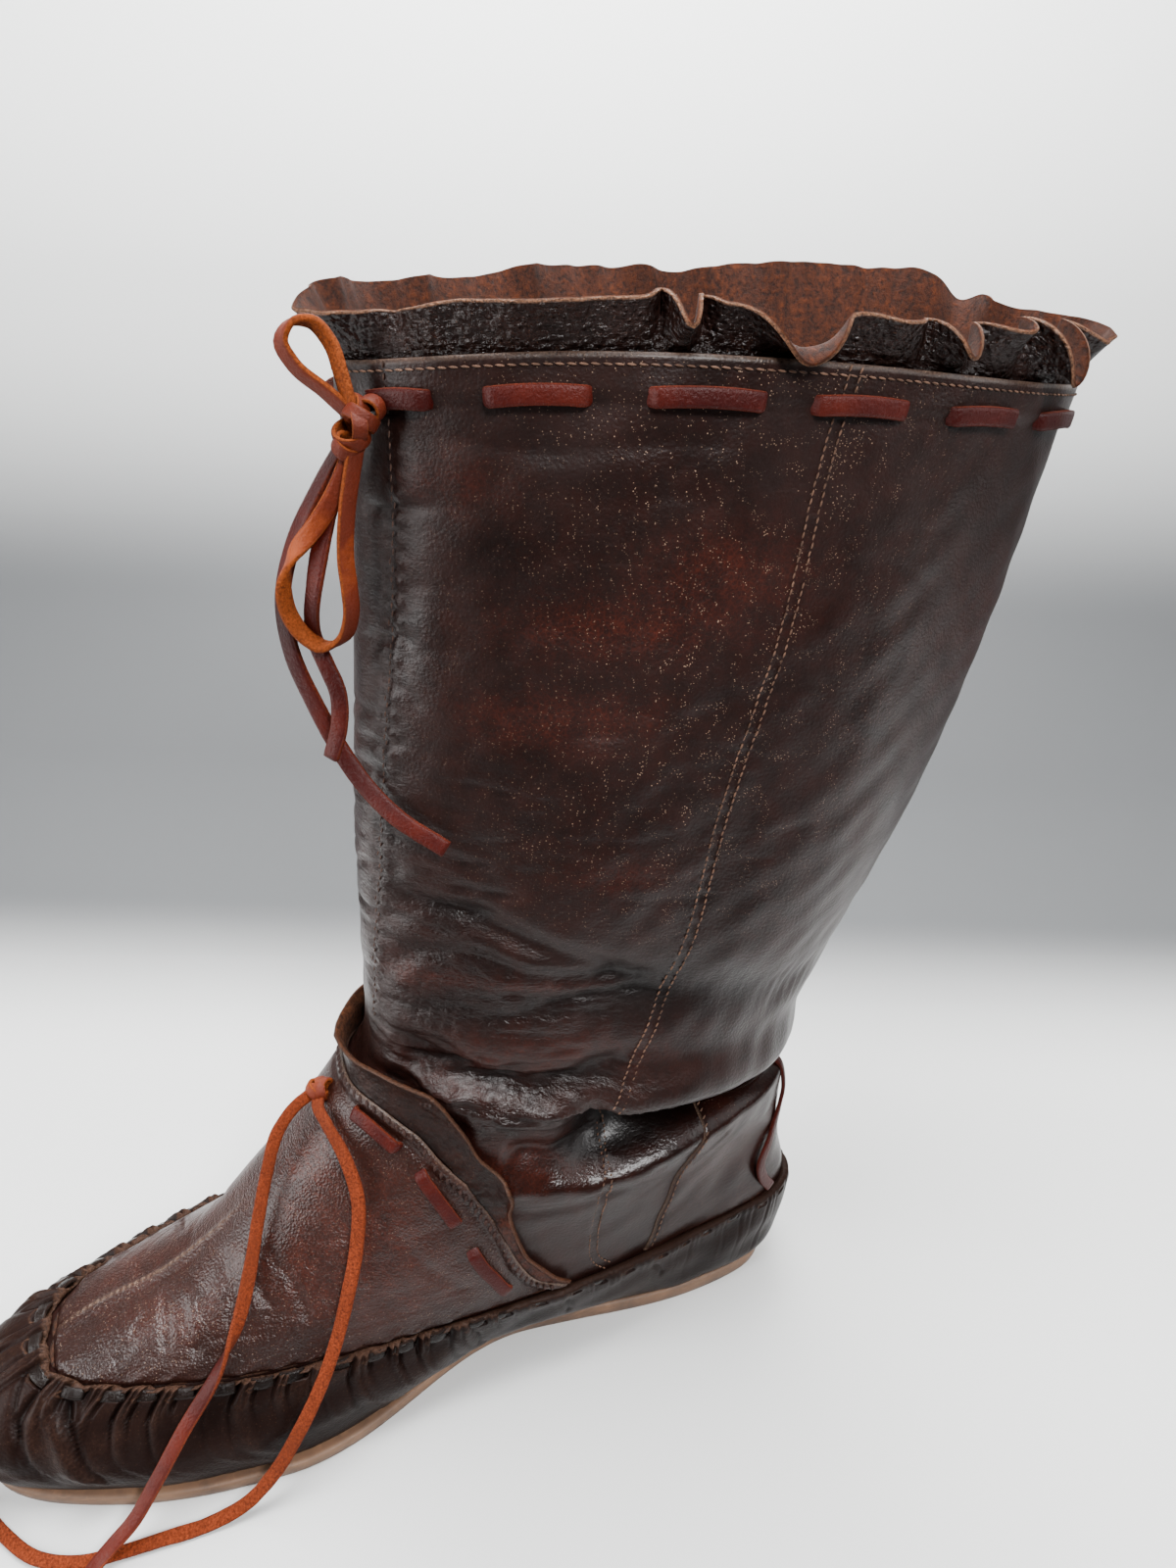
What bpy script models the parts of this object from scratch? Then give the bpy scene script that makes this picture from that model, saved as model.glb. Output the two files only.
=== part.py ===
"""Moccasin boot for the right foot, in metres: +Y to the toe, +X to the wearer's right, +Z up.

The last is a stack of closed sections from the feather line on the sole to the hem of the shaft.
Every leather piece is cut from that one form between two offsets along its normal.
"""
import bmesh
import bpy
import numpy as np

MM = 0.001

# Leather, gaps and thong
LEATHER = 1.6 * MM
OVERLAY = 1.3 * MM
COUNTER_LEATHER = 0.9 * MM
RUFFLE_LEATHER = 1.2 * MM
GAP = 0.3 * MM
OVERLAY_GAP = 0.6 * MM
THONG_WIDTH = 4.4 * MM
THONG_THICK = 1.8 * MM
CORD_RADIUS = 1.5 * MM
CORD_STEP = 9.5 * MM

# The middle of the boot's box on the floor, in the last's own frame
ORIGIN = np.array((-1.066, -32.002, 0.0)) * MM

# Sections of the last, heel to toe sizes in millimetres: the front and back points of each closed
# section, its half widths at heel, waist and ball on the inner and outer side, how far its sides
# lift, and how round its two ends are (1 is an ellipse, less is blunter)
SECTION_COLUMNS = ("name", "front_x", "front_y", "front_z", "back_y", "back_z", "heel",
                   "waist_in", "waist_out", "ball_in", "ball_out", "lift_in", "lift_out",
                   "round_heel", "round_toe")
SECTIONS = (
    ("feather", -16.0, 121.0, 8, -123.0, 5, 26.0, 21.0, 28.5, 44.5, 42.5, 0, 0, 0.42, 0.60),
    ("turn", -17.0, 126.0, 13, -127.0, 9, 29.0, 26.5, 32.5, 46.0, 44.0, -1, -1, 0.42, 0.60),
    ("bulge", -17.0, 128.0, 21, -129.5, 18, 30.5, 32.0, 35.5, 46.5, 44.5, -2, -2, 0.44, 0.60),
    ("wall", -16.5, 120.5, 31, -130.5, 28, 31.5, 35.0, 37.0, 42.5, 40.5, -3, -2, 0.46, 0.58),
    ("seam", -15.5, 105.0, 37, -130.0, 37, 31.5, 36.5, 37.5, 38.5, 36.0, -3, -2, 0.48, 0.56),
    ("plug", -13.5, 88.5, 42, -129.0, 44, 32.0, 36.5, 37.5, 37.0, 34.5, -2, -1, 0.50, 0.55),
    ("vamp", -10.5, 65.5, 50, -126.5, 55, 32.5, 36.5, 37.0, 35.5, 34.0, 0, 0, 0.55, 0.57),
    ("instep", -5.0, 41.5, 71, -124.0, 70, 33.5, 37.0, 37.0, 34.5, 33.5, 0, 0, 0.66, 0.66),
    ("throat", -1.0, 19.5, 95.5, -122.5, 83, 34.5, 37.5, 37.0, 34.5, 34.0, 0, 0, 0.78, 0.76),
    ("neck", 0.0, 11.0, 108, -120.5, 92, 33.0, 35.5, 35.5, 35.0, 34.5, 0, 0, 0.82, 0.80),
    ("fold", 0.0, 7.0, 117, -124.5, 102, 38.0, 40.5, 40.0, 37.0, 37.0, 0, 0, 0.86, 0.84),
    ("shaft_low", 0.0, 6.4, 140, -137.0, 131, 40.0, 41.5, 41.0, 39.0, 39.0, 0, 0, 0.92, 0.88),
    ("shaft_mid", 0.0, 4.0, 185, -157.5, 175, 42.0, 43.0, 42.5, 42.0, 42.0, 0, 0, 0.95, 0.92),
    ("shaft_high", 0.0, 1.5, 245, -176.0, 238, 43.5, 44.0, 43.5, 43.5, 43.5, 3, 1, 0.95, 0.95),
    ("hem", 0.0, 3.5, 299, -187.0, 294, 44.5, 45.0, 44.5, 44.5, 44.5, 6, 3, 0.95, 0.95),
)
LEVELS = len(SECTIONS) - 1
LEVEL = {row[0]: level for level, row in enumerate(SECTIONS)}

# Sole along its length, heel to toe: share of the length, height of the underside, thickness (mm)
SOLE_COLUMNS = ("share", "underside", "thickness")
SOLE = (
    (0.00, 1.6, 4.6),
    (0.04, 0.0, 5.6),
    (0.30, 0.0, 5.2),
    (0.45, 1.6, 4.4),
    (0.60, 0.0, 4.2),
    (0.82, 0.0, 4.0),
    (0.92, 1.6, 3.8),
    (1.00, 5.0, 3.6),
)
SOLE_OVERHANG = 1.2 * MM
SOLE_EDGE_ROUND = 0.9 * MM
SOLE_STATIONS = 40
INSOLE_STATIONS = 28
INSOLE_INSET = 2.6 * MM
INSOLE_THICK = 2.2 * MM

# Moccasin wall, feather line to seam: level of the section and how far it stands off the upper (mm)
WALL_COLUMNS = ("level", "stand_off")
WALL = ((0.5, 1.4), (1.0, 1.8), (1.5, 1.8), (2.0, 1.8), (2.5, 1.8), (3.0, 1.8), (3.5, 2.2), (4.0, 3.0))
SEAM_LEVEL = 4.35

# Throat of the vamp, from the seam on one side up to the front (share of the way round the boot):
# level of the vamp's edge, of the cuff's free rim, of the thong, and how far the rim stands off (mm)
THROAT_COLUMNS = ("around", "edge", "rim", "thong", "flare")
THROAT = (
    (0.195, 4.40, 4.55, 4.30, 1.0),
    (0.229, 5.25, 5.70, 4.80, 2.5),
    (0.272, 6.37, 6.75, 5.85, 4.5),
    (0.300, 6.95, 7.40, 6.45, 6.5),
    (0.334, 7.46, 8.15, 7.08, 7.0),
    (0.372, 7.88, 9.10, 7.58, 6.5),
    (0.405, 8.38, 9.75, 7.96, 7.0),
    (0.449, 8.71, 9.85, 8.30, 8.0),
    (0.500, 8.75, 9.75, 8.35, 9.0),
)
THROAT_BARS = ((0.244, 0.304), (0.326, 0.383), (0.406, 0.456))

# Heel counter: half its share of the way round, and the levels of its rows
COUNTER_HALF = 0.15
COUNTER_LEVELS = (4.5, 5.5, 6.5, 7.5, 8.0, 8.5)

# Ruffle of the collar: how many levels it reaches below the hem, its gap inside the shaft, its
# usual rise above the hem and lean outwards (mm), then its folds by place (share of the way
# round), spread, and what each adds to the lean and the rise
RUFFLE_DEPTH = 0.12
RUFFLE_INSIDE = 1.2 * MM
RUFFLE_RISE = 13.5
RUFFLE_LEAN = 4.5
FOLD_COLUMNS = ("around", "spread", "lean", "rise")
FOLDS = (
    (0.030, 0.022, 3.5, 1.5),
    (0.100, 0.016, 4.0, -5.0),
    (0.140, 0.012, -2.5, 1.0),
    (0.180, 0.014, 2.5, -3.0),
    (0.255, 0.022, 5.0, -8.5),
    (0.312, 0.010, -3.0, 0.5),
    (0.370, 0.030, 3.0, -1.5),
    (0.447, 0.012, -3.5, -6.0),
    (0.490, 0.022, 2.5, 3.0),
    (0.560, 0.020, -2.0, 0.5),
    (0.610, 0.026, 3.0, 1.0),
    (0.680, 0.018, -2.0, 2.5),
    (0.740, 0.026, 3.0, 4.0),
    (0.810, 0.018, -2.0, 3.0),
    (0.880, 0.028, 3.0, 4.0),
    (0.950, 0.014, -2.5, 1.0),
)

# Thong round the shaft, under the hem
SHAFT_BARS = 13
SHAFT_BAR_AROUND = 0.3785
SHAFT_BAR_SHARE = 0.70
SHAFT_THONG_LEVEL = 13.85
LINK_SHARE = 0.5

# Free thong ends, loops and knots in millimetres in the last's frame; knots are centre and radii
KNOTS = {
    "bow_knot": ((-20.5, 1.4, 287.5), (4.2, 4.2, 5.0)),
    "throat_knot": ((-1.5, 25.0, 98.5), (4.6, 4.0, 4.2)),
}
ROUTES = {
    "bow_loop_upper": ((-18.6, 6.6, 290.0), (-17.0, 11.5, 293.5), (-15.6, 15.4, 299.5),
                       (-15.4, 15.2, 305.0), (-16.2, 11.5, 307.8), (-17.4, 7.4, 305.4),
                       (-18.9, 4.2, 299.5), (-20.0, 3.2, 294.6)),
    "bow_loop_lower": ((-20.0, 4.0, 281.6), (-18.0, 8.2, 273.5), (-15.8, 14.0, 263.5),
                       (-14.6, 17.4, 252.5), (-14.8, 16.6, 243.5), (-16.4, 12.8, 239.4),
                       (-18.4, 8.4, 241.5), (-19.6, 5.2, 248.5), (-20.2, 4.4, 258.5),
                       (-21.6, 4.2, 269.5), (-22.8, 4.4, 280.4)),
    "bow_end_long": ((-15.0, 4.6, 281.4), (-12.0, 9.4, 273.0), (-10.4, 15.0, 262.0),
                     (-9.6, 18.8, 248.0), (-9.6, 18.0, 236.0), (-10.0, 13.6, 222.0),
                     (-11.6, 9.4, 212.0), (-16.4, 4.4, 203.5), (-24.2, -2.6, 196.8),
                     (-31.4, -13.2, 190.4)),
    "bow_end_short": ((-18.6, 4.9, 233.6), (-18.6, 7.0, 227.4), (-17.4, 8.6, 217.4),
                      (-16.2, 11.6, 210.6)),
    "throat_end_front": ((-4.6, 30.0, 97.2), (-8.8, 34.8, 92.0), (-14.2, 38.6, 83.0),
                         (-22.0, 42.6, 72.0), (-30.4, 46.4, 61.0), (-38.2, 50.8, 51.5),
                         (-45.6, 57.6, 42.8), (-51.4, 66.6, 33.0), (-55.6, 75.6, 20.0),
                         (-58.4, 83.0, 10.0), (-60.6, 88.4, 6.2), (-65.0, 93.6, 4.6),
                         (-71.0, 97.4, 2.8), (-80.0, 100.4, 1.9), (-92.0, 101.6, 1.9)),
    "throat_end_side": ((-7.4, 24.2, 97.4), (-15.4, 21.6, 97.0), (-24.2, 17.4, 92.4),
                        (-31.0, 15.0, 82.6), (-36.4, 16.6, 70.4), (-41.4, 20.4, 58.0),
                        (-46.0, 25.0, 45.6), (-50.4, 30.4, 35.0), (-54.6, 37.6, 24.0),
                        (-57.0, 45.6, 12.6), (-58.0, 54.0, 4.6), (-59.0, 64.0, 1.9),
                        (-59.6, 76.0, 1.9), (-60.0, 86.0, 1.9), (-59.6, 97.0, 1.9),
                        (-55.6, 107.6, 1.9), (-46.0, 117.6, 1.9), (-33.6, 126.4, 1.9)),
    "heel_thong": ((-10.7, -123.9, 87.2), (-13.9, -124.7, 75.5), (-14.9, -126.4, 64.6),
                   (-16.2, -127.8, 57.2), (-20.8, -126.2, 50.4), (-24.8, -120.0, 46.8),
                   (-26.7, -117.0, 40.6)),
}

UPPER_COLUMNS = 48
RUFFLE_COLUMNS = 84
COLUMN_CROWDING = 0.35
OUTER_LEVELS = (0, 0.5, 1, 1.5, 2, 2.5, 3, 3.5, 4, 4.5, 5, 5.5, 6, 6.5, 7, 7.5, 8, 8.5, 9, 9.35,
                9.7, 10.1, 10.6, 11.3, 12, 13, 14)
INNER_LEVELS = (0, 1, 2, 3, 4, 5, 6, 7, 8, 9, 9.5, 10.1, 11.3, 12.6, 14)

FINE_LEVELS = 8
FINE_TURNS = 720


def smooth(value):
    """Ease from 0 to 1, flat at both ends."""
    value = np.clip(value, 0, 1)
    return value * value * (3 - 2 * value)


def through(knots, values, places):
    """Cubic curve through the rows of a table that never overshoots them."""
    run = np.diff(knots)[:, None]
    slope = np.diff(values, axis=0) / run
    product = slope[:-1] * slope[1:]
    total = np.where(product > 0, slope[:-1] + slope[1:], 1)
    inner = np.where(product > 0, 2 * product / total, 0)
    bend = np.vstack([slope[:1], inner, slope[-1:]])
    row = np.clip(np.searchsorted(knots, places, side="right") - 1, 0, len(knots) - 2)
    t = ((places - knots[row]) / run[row, 0])[:, None]
    rise = t * t * (3 - 2 * t)
    leave = t * (1 - t) ** 2 * run[row] * bend[row]
    arrive = t * t * (t - 1) * run[row] * bend[row + 1]
    return values[row] * (1 - rise) + values[row + 1] * rise + leave + arrive


def table_at(table, places):
    """The columns of a short table, read at places along its first column."""
    values = np.array(table, float)
    places = np.asarray(places, float)
    read = through(values[:, 0], values[:, 1:], places.ravel())
    return [column.reshape(places.shape) for column in read.T]


def sole_heights(share):
    """Underside and top of the sole at a share of its length."""
    underside, thickness = table_at(SOLE, share)
    return underside * MM, (underside + thickness) * MM


def section_half(size, rows, side):
    """One half of every section, heel to toe: a blunt oval that swings in towards the toe."""
    inner = side < 0
    waist = size["waist_in" if inner else "waist_out"]
    ball = size["ball_in" if inner else "ball_out"]
    lift = size["lift_in" if inner else "lift_out"]
    toe_taper = 0.14 if inner else 0.22
    turn = np.pi * (1 - np.cos(np.pi * np.linspace(0, 1, 400))) / 2
    share = (1 - np.cos(turn)) / 2
    width = size["heel"] + (waist - size["heel"]) * smooth((share - 0.12) / 0.24)
    width = width + (ball - waist) * smooth((share - 0.36) / 0.32)
    foot = np.clip((0.8 - size["round_toe"]) / 0.2, 0, 1)
    width = width * (1 - toe_taper * foot * smooth((share - 0.74) / 0.26))
    power = size["round_heel"] + (size["round_toe"] - size["round_heel"]) * smooth((share - 0.3) / 0.4)
    wave = np.clip(np.sin(turn), 0, 1)
    x = size["front_x"] * share ** 3 + side * width * wave ** power
    y = size["back_y"] + (size["front_y"] - size["back_y"]) * share
    z = size["back_z"] + (size["front_z"] - size["back_z"]) * share
    z = z + lift * wave ** 2 * (0.4 + 1.2 * share)
    points = np.stack([x, y, z], -1) * MM
    seat = 1 - smooth(rows)[:, None]
    top = sole_heights(share)[1][None, :] + GAP
    points[..., 2] += seat * (top - points[..., 2])
    return points


def even_steps(points):
    """The same curves, one a row, read at even steps along their length."""
    step = np.linalg.norm(np.diff(points, axis=1), axis=2)
    run = np.cumsum(np.pad(step, ((0, 0), (1, 0))), axis=1)
    run = run / run[:, -1:]
    even = np.linspace(0, 1, FINE_TURNS // 2 + 1)
    rows = [[np.interp(even, way, line[:, axis]) for axis in range(3)] for way, line in zip(run, points)]
    return np.moveaxis(np.array(rows), 1, 2)


def last_form():
    """All sections as one fine net: heel by the inner side to the toe and back by the outer side."""
    rows = np.linspace(0, LEVELS, LEVELS * FINE_LEVELS + 1)
    numbers = np.array([row[1:] for row in SECTIONS], float)
    read = through(np.arange(LEVELS + 1.0), numbers, rows)
    size = {name: column[:, None] for name, column in zip(SECTION_COLUMNS[1:], read.T)}
    inner = even_steps(section_half(size, rows, -1))
    outer = even_steps(section_half(size, rows, 1))
    return np.concatenate([inner, outer[:, -2::-1]], axis=1) - ORIGIN


FORM = last_form()


def form(around, level):
    """Point of the last at a share of the way round and a section level."""
    around, level = np.broadcast_arrays(np.asarray(around, float), np.asarray(level, float))
    turn = (around % 1) * FINE_TURNS
    rise = np.clip(level, 0, LEVELS) * FINE_LEVELS
    i = np.clip(np.floor(turn).astype(int), 0, FINE_TURNS - 1)
    j = np.clip(np.floor(rise).astype(int), 0, LEVELS * FINE_LEVELS - 1)
    a = (turn - i)[..., None]
    b = (rise - j)[..., None]
    low = FORM[j, i] * (1 - a) + FORM[j, i + 1] * a
    high = FORM[j + 1, i] * (1 - a) + FORM[j + 1, i + 1] * a
    return low * (1 - b) + high * b


def outward(around, level):
    """Unit normal of the last, away from the foot."""
    side = 2 / FINE_TURNS
    step = 1 / FINE_LEVELS
    across = form(around + side, level) - form(around - side, level)
    up = form(around, np.clip(level + step, 0, LEVELS)) - form(around, np.clip(level - step, 0, LEVELS))
    normal = np.cross(up, across)
    return normal / np.linalg.norm(normal, axis=-1, keepdims=True)


def stand_off(around, level, distance):
    """Point at a distance outside the last."""
    return form(around, level) + outward(around, level) * np.asarray(distance)[..., None]


def columns():
    """Shares of the way round for the upper's columns, closer together at heel and toe."""
    half = np.linspace(0, 1, UPPER_COLUMNS // 2 + 1)
    half = half - COLUMN_CROWDING * np.sin(2 * np.pi * half) / (2 * np.pi)
    return np.concatenate([half, 2 - half[-2:0:-1]]) / 2


def material(name, colour, roughness):
    """Principled material of one leather or rubber."""
    made = bpy.data.materials.new(name)
    made.use_nodes = True
    shader = made.node_tree.nodes["Principled BSDF"]
    shader.inputs["Base Color"].default_value = (*colour, 1)
    shader.inputs["Roughness"].default_value = roughness
    shader.inputs["Metallic"].default_value = 0.0
    return made


def add_mesh(name, points, faces, finish):
    """Object with its place in its mesh, smooth but for its sharp edges."""
    mesh = bpy.data.meshes.new(name)
    mesh.from_pydata([tuple(point) for point in points], [], faces)
    mesh.shade_smooth()
    mesh.set_sharp_from_angle(angle=np.radians(40))
    mesh.materials.append(finish)
    made = bpy.data.objects.new(name, mesh)
    bpy.context.scene.collection.objects.link(made)
    return made


def wall_between(name, outer, inner, ring, finish):
    """Closed wall between an outer and an inner grid of points, rows upwards and columns round."""
    outer_rows, count = outer.shape[:2]
    inner_rows = inner.shape[0]
    points = np.concatenate([outer.reshape(-1, 3), inner.reshape(-1, 3)])
    start = outer_rows * count
    pairs = [(c, (c + 1) % count) for c in range(count if ring else count - 1)]
    faces = []
    for c, d in pairs:
        for r in range(outer_rows - 1):
            low, high = r * count, (r + 1) * count
            faces.append((low + c, high + c, high + d, low + d))
        for r in range(inner_rows - 1):
            low, high = start + r * count, start + (r + 1) * count
            faces.append((low + d, high + d, high + c, low + c))
        top = (outer_rows - 1) * count
        inner_top = start + (inner_rows - 1) * count
        faces.append((top + c, inner_top + c, inner_top + d, top + d))
        faces.append((c, d, start + d, start + c))
    if not ring:
        for r in range(outer_rows - 1):
            low, high = r * count, (r + 1) * count
            faces.append((low, start + low, start + high, high))
            low, high = low + count - 1, high + count - 1
            faces.append((low, high, start + high, start + low))
    return add_mesh(name, points, faces, finish)


def sole_outline(share, overhang):
    """Inner and outer edge of the feather line at shares of its length, moved out by an overhang."""
    ring = FORM[0]
    half = FINE_TURNS // 2
    heel, toe = ring[0, 1], ring[half, 1]
    y = heel - overhang + (toe - heel + 2 * overhang) * share
    middle = (ring[0, :2] + ring[half, :2]) / 2
    edges = []
    for line in (ring[: half + 1, :2], ring[half:, :2][::-1]):
        along = np.gradient(line, axis=0)
        out = np.stack([along[:, 1], -along[:, 0]], -1)
        out *= np.sign(((line - middle) * out).sum(1, keepdims=True))
        moved = line + overhang * out / np.linalg.norm(out, axis=1, keepdims=True)
        edges.append(np.interp(y, moved[:, 1], moved[:, 0]))
    return edges[0], edges[1], y


def plate(name, stations, finish):
    """Closed plate from cross sections of equal point counts, heel to toe."""
    rows, count = stations.shape[:2]
    faces = []
    for r in range(rows - 1):
        for c in range(count):
            d = (c + 1) % count
            faces.append((r * count + c, r * count + d, (r + 1) * count + d, (r + 1) * count + c))
    faces.append(tuple(range(count))[::-1])
    faces.append(tuple(range((rows - 1) * count, rows * count)))
    made = add_mesh(name, stations.reshape(-1, 3), faces, finish)
    net = bmesh.new()
    net.from_mesh(made.data)
    bmesh.ops.recalc_face_normals(net, faces=net.faces)
    net.to_mesh(made.data)
    net.free()
    return made


def plate_stations(count, overhang, underside, top, edge_round):
    """Cross sections of a flat plate with the feather line's outline and rounded lower edges."""
    share = (1 - np.cos(np.pi * np.linspace(0.012, 0.988, count))) / 2
    left, right, y = sole_outline(share, overhang)
    low, high = underside(share), top(share)
    edge = np.minimum(edge_round, (right - left) / 6)
    corners = [(left + edge, low), (left, low + edge), (left, high), (right, high),
               (right, low + edge), (right - edge, low)]
    return np.stack([np.stack([x, y, z], -1) for x, z in corners], axis=1)


def make_outsole(finish):
    """Thin rubber sole: flat at heel and ball, lifted at the waist and sprung at the toe."""
    stations = plate_stations(SOLE_STATIONS, SOLE_OVERHANG, lambda s: sole_heights(s)[0],
                              lambda s: sole_heights(s)[1], SOLE_EDGE_ROUND)
    return plate("outsole", stations, finish)


def make_insole(finish):
    """Insole inside the feather line, on the sole."""
    stations = plate_stations(INSOLE_STATIONS, -INSOLE_INSET, lambda s: sole_heights(s)[1] + GAP,
                              lambda s: sole_heights(s)[1] + GAP + INSOLE_THICK, INSOLE_THICK / 4)
    return plate("insole", stations, finish)


def make_upper(finish):
    """Foot, ankle and shaft as one hollow wall, open at the hem and under the foot."""
    around = columns()[None, :]
    outer = form(around, np.array(OUTER_LEVELS)[:, None])
    inner_level = np.array(INNER_LEVELS)[:, None]
    inner = stand_off(around, inner_level, np.full((len(INNER_LEVELS), UPPER_COLUMNS), -LEATHER))
    return wall_between("upper", outer, inner, True, finish)


def make_moccasin_wall(finish):
    """Leather turned up from the sole all round, with the raised lip of the gathered seam."""
    around = np.broadcast_to(columns()[None, :], (len(WALL), UPPER_COLUMNS))
    level = np.array(WALL)[:, :1]
    distance = np.broadcast_to(np.array(WALL)[:, 1:] * MM, around.shape)
    outer = stand_off(around, level, distance)
    inner = stand_off(around, level, np.full(around.shape, OVERLAY_GAP))
    return wall_between("moccasin_wall", outer, inner, True, finish)


def throat_columns():
    """Columns of the upper between the two ends of the throat."""
    around = columns()
    return around[(around > THROAT[0][0] + 0.02) & (around < 1 - THROAT[0][0] - 0.02)]


def throat(around):
    """Edge, rim and thong levels and flare of the throat, the same on both sides of the front."""
    return table_at(THROAT, np.minimum(around, 1 - around))


def make_vamp(finish):
    """Vamp over the toe and instep, from the gathered seam to the edge of the throat."""
    around = throat_columns()[None, :]
    edge = throat(around)[0]
    level = SEAM_LEVEL + (edge - SEAM_LEVEL) * np.linspace(0, 1, 9)[:, None]
    around = np.broadcast_to(around, level.shape)
    inner = stand_off(around, level, np.full(level.shape, OVERLAY_GAP))
    outer = stand_off(around, level, np.full(level.shape, OVERLAY_GAP + OVERLAY))
    return wall_between("vamp", outer, inner, False, finish)


def make_throat_cuff(finish):
    """Free margin above the throat's thong: it stands away from the ankle and curls outwards."""
    around = throat_columns()[None, :]
    edge, rim, _, flare = throat(around)
    share = np.linspace(0, 1, 4)[:, None]
    level = edge + 0.08 + (rim - edge) * share
    around = np.broadcast_to(around, level.shape)
    base = OVERLAY_GAP + flare * MM * share ** 1.4
    inner = stand_off(around, level, base)
    outer = stand_off(around, level, base + OVERLAY)
    return wall_between("throat_cuff", outer, inner, False, finish)


def make_heel_counter(finish):
    """Panel round the heel, up to the fold of the ankle."""
    around = columns()
    around = np.where(around > 0.5, around - 1, around)
    around = np.sort(around[np.abs(around) < COUNTER_HALF])[None, :]
    level = np.array(COUNTER_LEVELS)[:, None]
    around, level = np.broadcast_arrays(around, level)
    inner = stand_off(around, level, np.full(level.shape, OVERLAY_GAP))
    outer = stand_off(around, level, np.full(level.shape, OVERLAY_GAP + COUNTER_LEATHER))
    return wall_between("heel_counter", outer, inner, False, finish)


def ruffle_shape(around):
    """Lean and rise of the ruffle's rim: the usual ones and a soft bump for each fold."""
    lean = np.full(around.shape, RUFFLE_LEAN)
    rise = np.full(around.shape, RUFFLE_RISE)
    for place, spread, more_lean, more_rise in FOLDS:
        away = (around - place + 0.5) % 1 - 0.5
        bump = np.exp(-(away / spread) ** 2)
        lean = lean + more_lean * bump
        rise = rise + more_rise * bump
    return lean, rise


def make_collar_ruffle(finish):
    """Gathered strip sewn inside the hem, standing above it and falling outwards in folds."""
    around = np.arange(RUFFLE_COLUMNS) / RUFFLE_COLUMNS
    lean, rise = ruffle_shape(around)
    inside = LEATHER + RUFFLE_INSIDE + RUFFLE_LEATHER
    back = np.full(around.shape, -inside)
    hem = stand_off(around, LEVELS, back)
    out = outward(around, LEVELS) * (1, 1, 0)
    out = out / np.linalg.norm(out, axis=-1, keepdims=True)
    up = np.array((0, 0, 1))
    rows = [stand_off(around, LEVELS - RUFFLE_DEPTH, back)]
    for share in (0.12, 0.45, 1.0):
        fall = smooth((share - 0.1) / 0.9) * (lean * MM + inside)
        rows.append(hem + out * fall[:, None] + up * (rise * share * MM)[:, None])
    inner = np.array(rows)
    return wall_between("collar_ruffle", inner + out * RUFFLE_LEATHER, inner, True, finish)


def strap(name, path, normal, half_width, lift, thick, ring, finish):
    """Flat strap along a path on a surface, with its own width and thickness at every point."""
    if ring:
        along = np.roll(path, -1, axis=0) - np.roll(path, 1, axis=0)
    else:
        along = np.gradient(path, axis=0)
    along = along / np.linalg.norm(along, axis=-1, keepdims=True)
    up = np.cross(along, normal)
    edges = np.stack([path - up * half_width[:, None], path + up * half_width[:, None]])
    inner = edges + normal * lift
    outer = edges + normal * (lift + thick[:, None])
    return wall_between(name, outer, inner, ring, finish)


def make_shaft_thong(finish):
    """Thong round the shaft: bars that show, joined by thin links where it runs inside."""
    steps = 6
    place = np.arange(SHAFT_BARS * steps) / steps
    around = SHAFT_BAR_AROUND + (place - 0.5 * SHAFT_BAR_SHARE + 0.5 / steps) / SHAFT_BARS
    bar = (place % 1) < SHAFT_BAR_SHARE
    share = np.where(bar, 1.0, LINK_SHARE)
    level = np.full(around.shape, SHAFT_THONG_LEVEL)
    path = form(around, level)
    return strap("shaft_thong", path, outward(around, level), THONG_WIDTH / 2 * share, GAP,
                 THONG_THICK * np.where(bar, 1.0, LINK_SHARE), True, finish)


def make_throat_thong(finish):
    """Thong along the throat of the vamp: three bars on each side, joined by thin links."""
    start = THROAT_BARS[0][0]
    around = np.linspace(start, 1 - start, 57)
    near = np.minimum(around, 1 - around)
    bar = np.any([(near >= low) & (near <= high) for low, high in THROAT_BARS], axis=0)
    share = np.where(bar, 1.0, LINK_SHARE)
    level = throat(around)[2]
    path = form(around, level)
    return strap("throat_thong", path, outward(around, level), THONG_WIDTH / 2 * share,
                 OVERLAY_GAP + OVERLAY + 2 * GAP, THONG_THICK * share, False, finish)


def route_points(points):
    """Even points on a smooth curve through a route's own points."""
    knots = np.array(points, float) * MM - ORIGIN
    run = np.concatenate([[0], np.cumsum(np.linalg.norm(np.diff(knots, axis=0), axis=1))])
    chord = np.gradient(knots, run, axis=0)
    places = np.linspace(0, run[-1], max(int(run[-1] / CORD_STEP) + 1, 4))
    row = np.clip(np.searchsorted(run, places, side="right") - 1, 0, len(run) - 2)
    span = (run[row + 1] - run[row])[:, None]
    t = (places - run[row])[:, None] / span
    rise = t * t * (3 - 2 * t)
    bend = t * (1 - t) * ((1 - t) * chord[row] - t * chord[row + 1]) * span
    return knots[row] * (1 - rise) + knots[row + 1] * rise + bend


def make_cord(name, points, finish):
    """Free thong as a tube along its route."""
    line = bpy.data.curves.new(name, "CURVE")
    line.dimensions = "3D"
    line.bevel_depth = CORD_RADIUS
    line.bevel_resolution = 2
    line.use_fill_caps = True
    spline = line.splines.new("POLY")
    path = route_points(points)
    spline.points.add(len(path) - 1)
    for point, place in zip(spline.points, path):
        point.co = (*place, 1)
    line.materials.append(finish)
    made = bpy.data.objects.new(name, line)
    bpy.context.scene.collection.objects.link(made)
    return made


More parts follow.
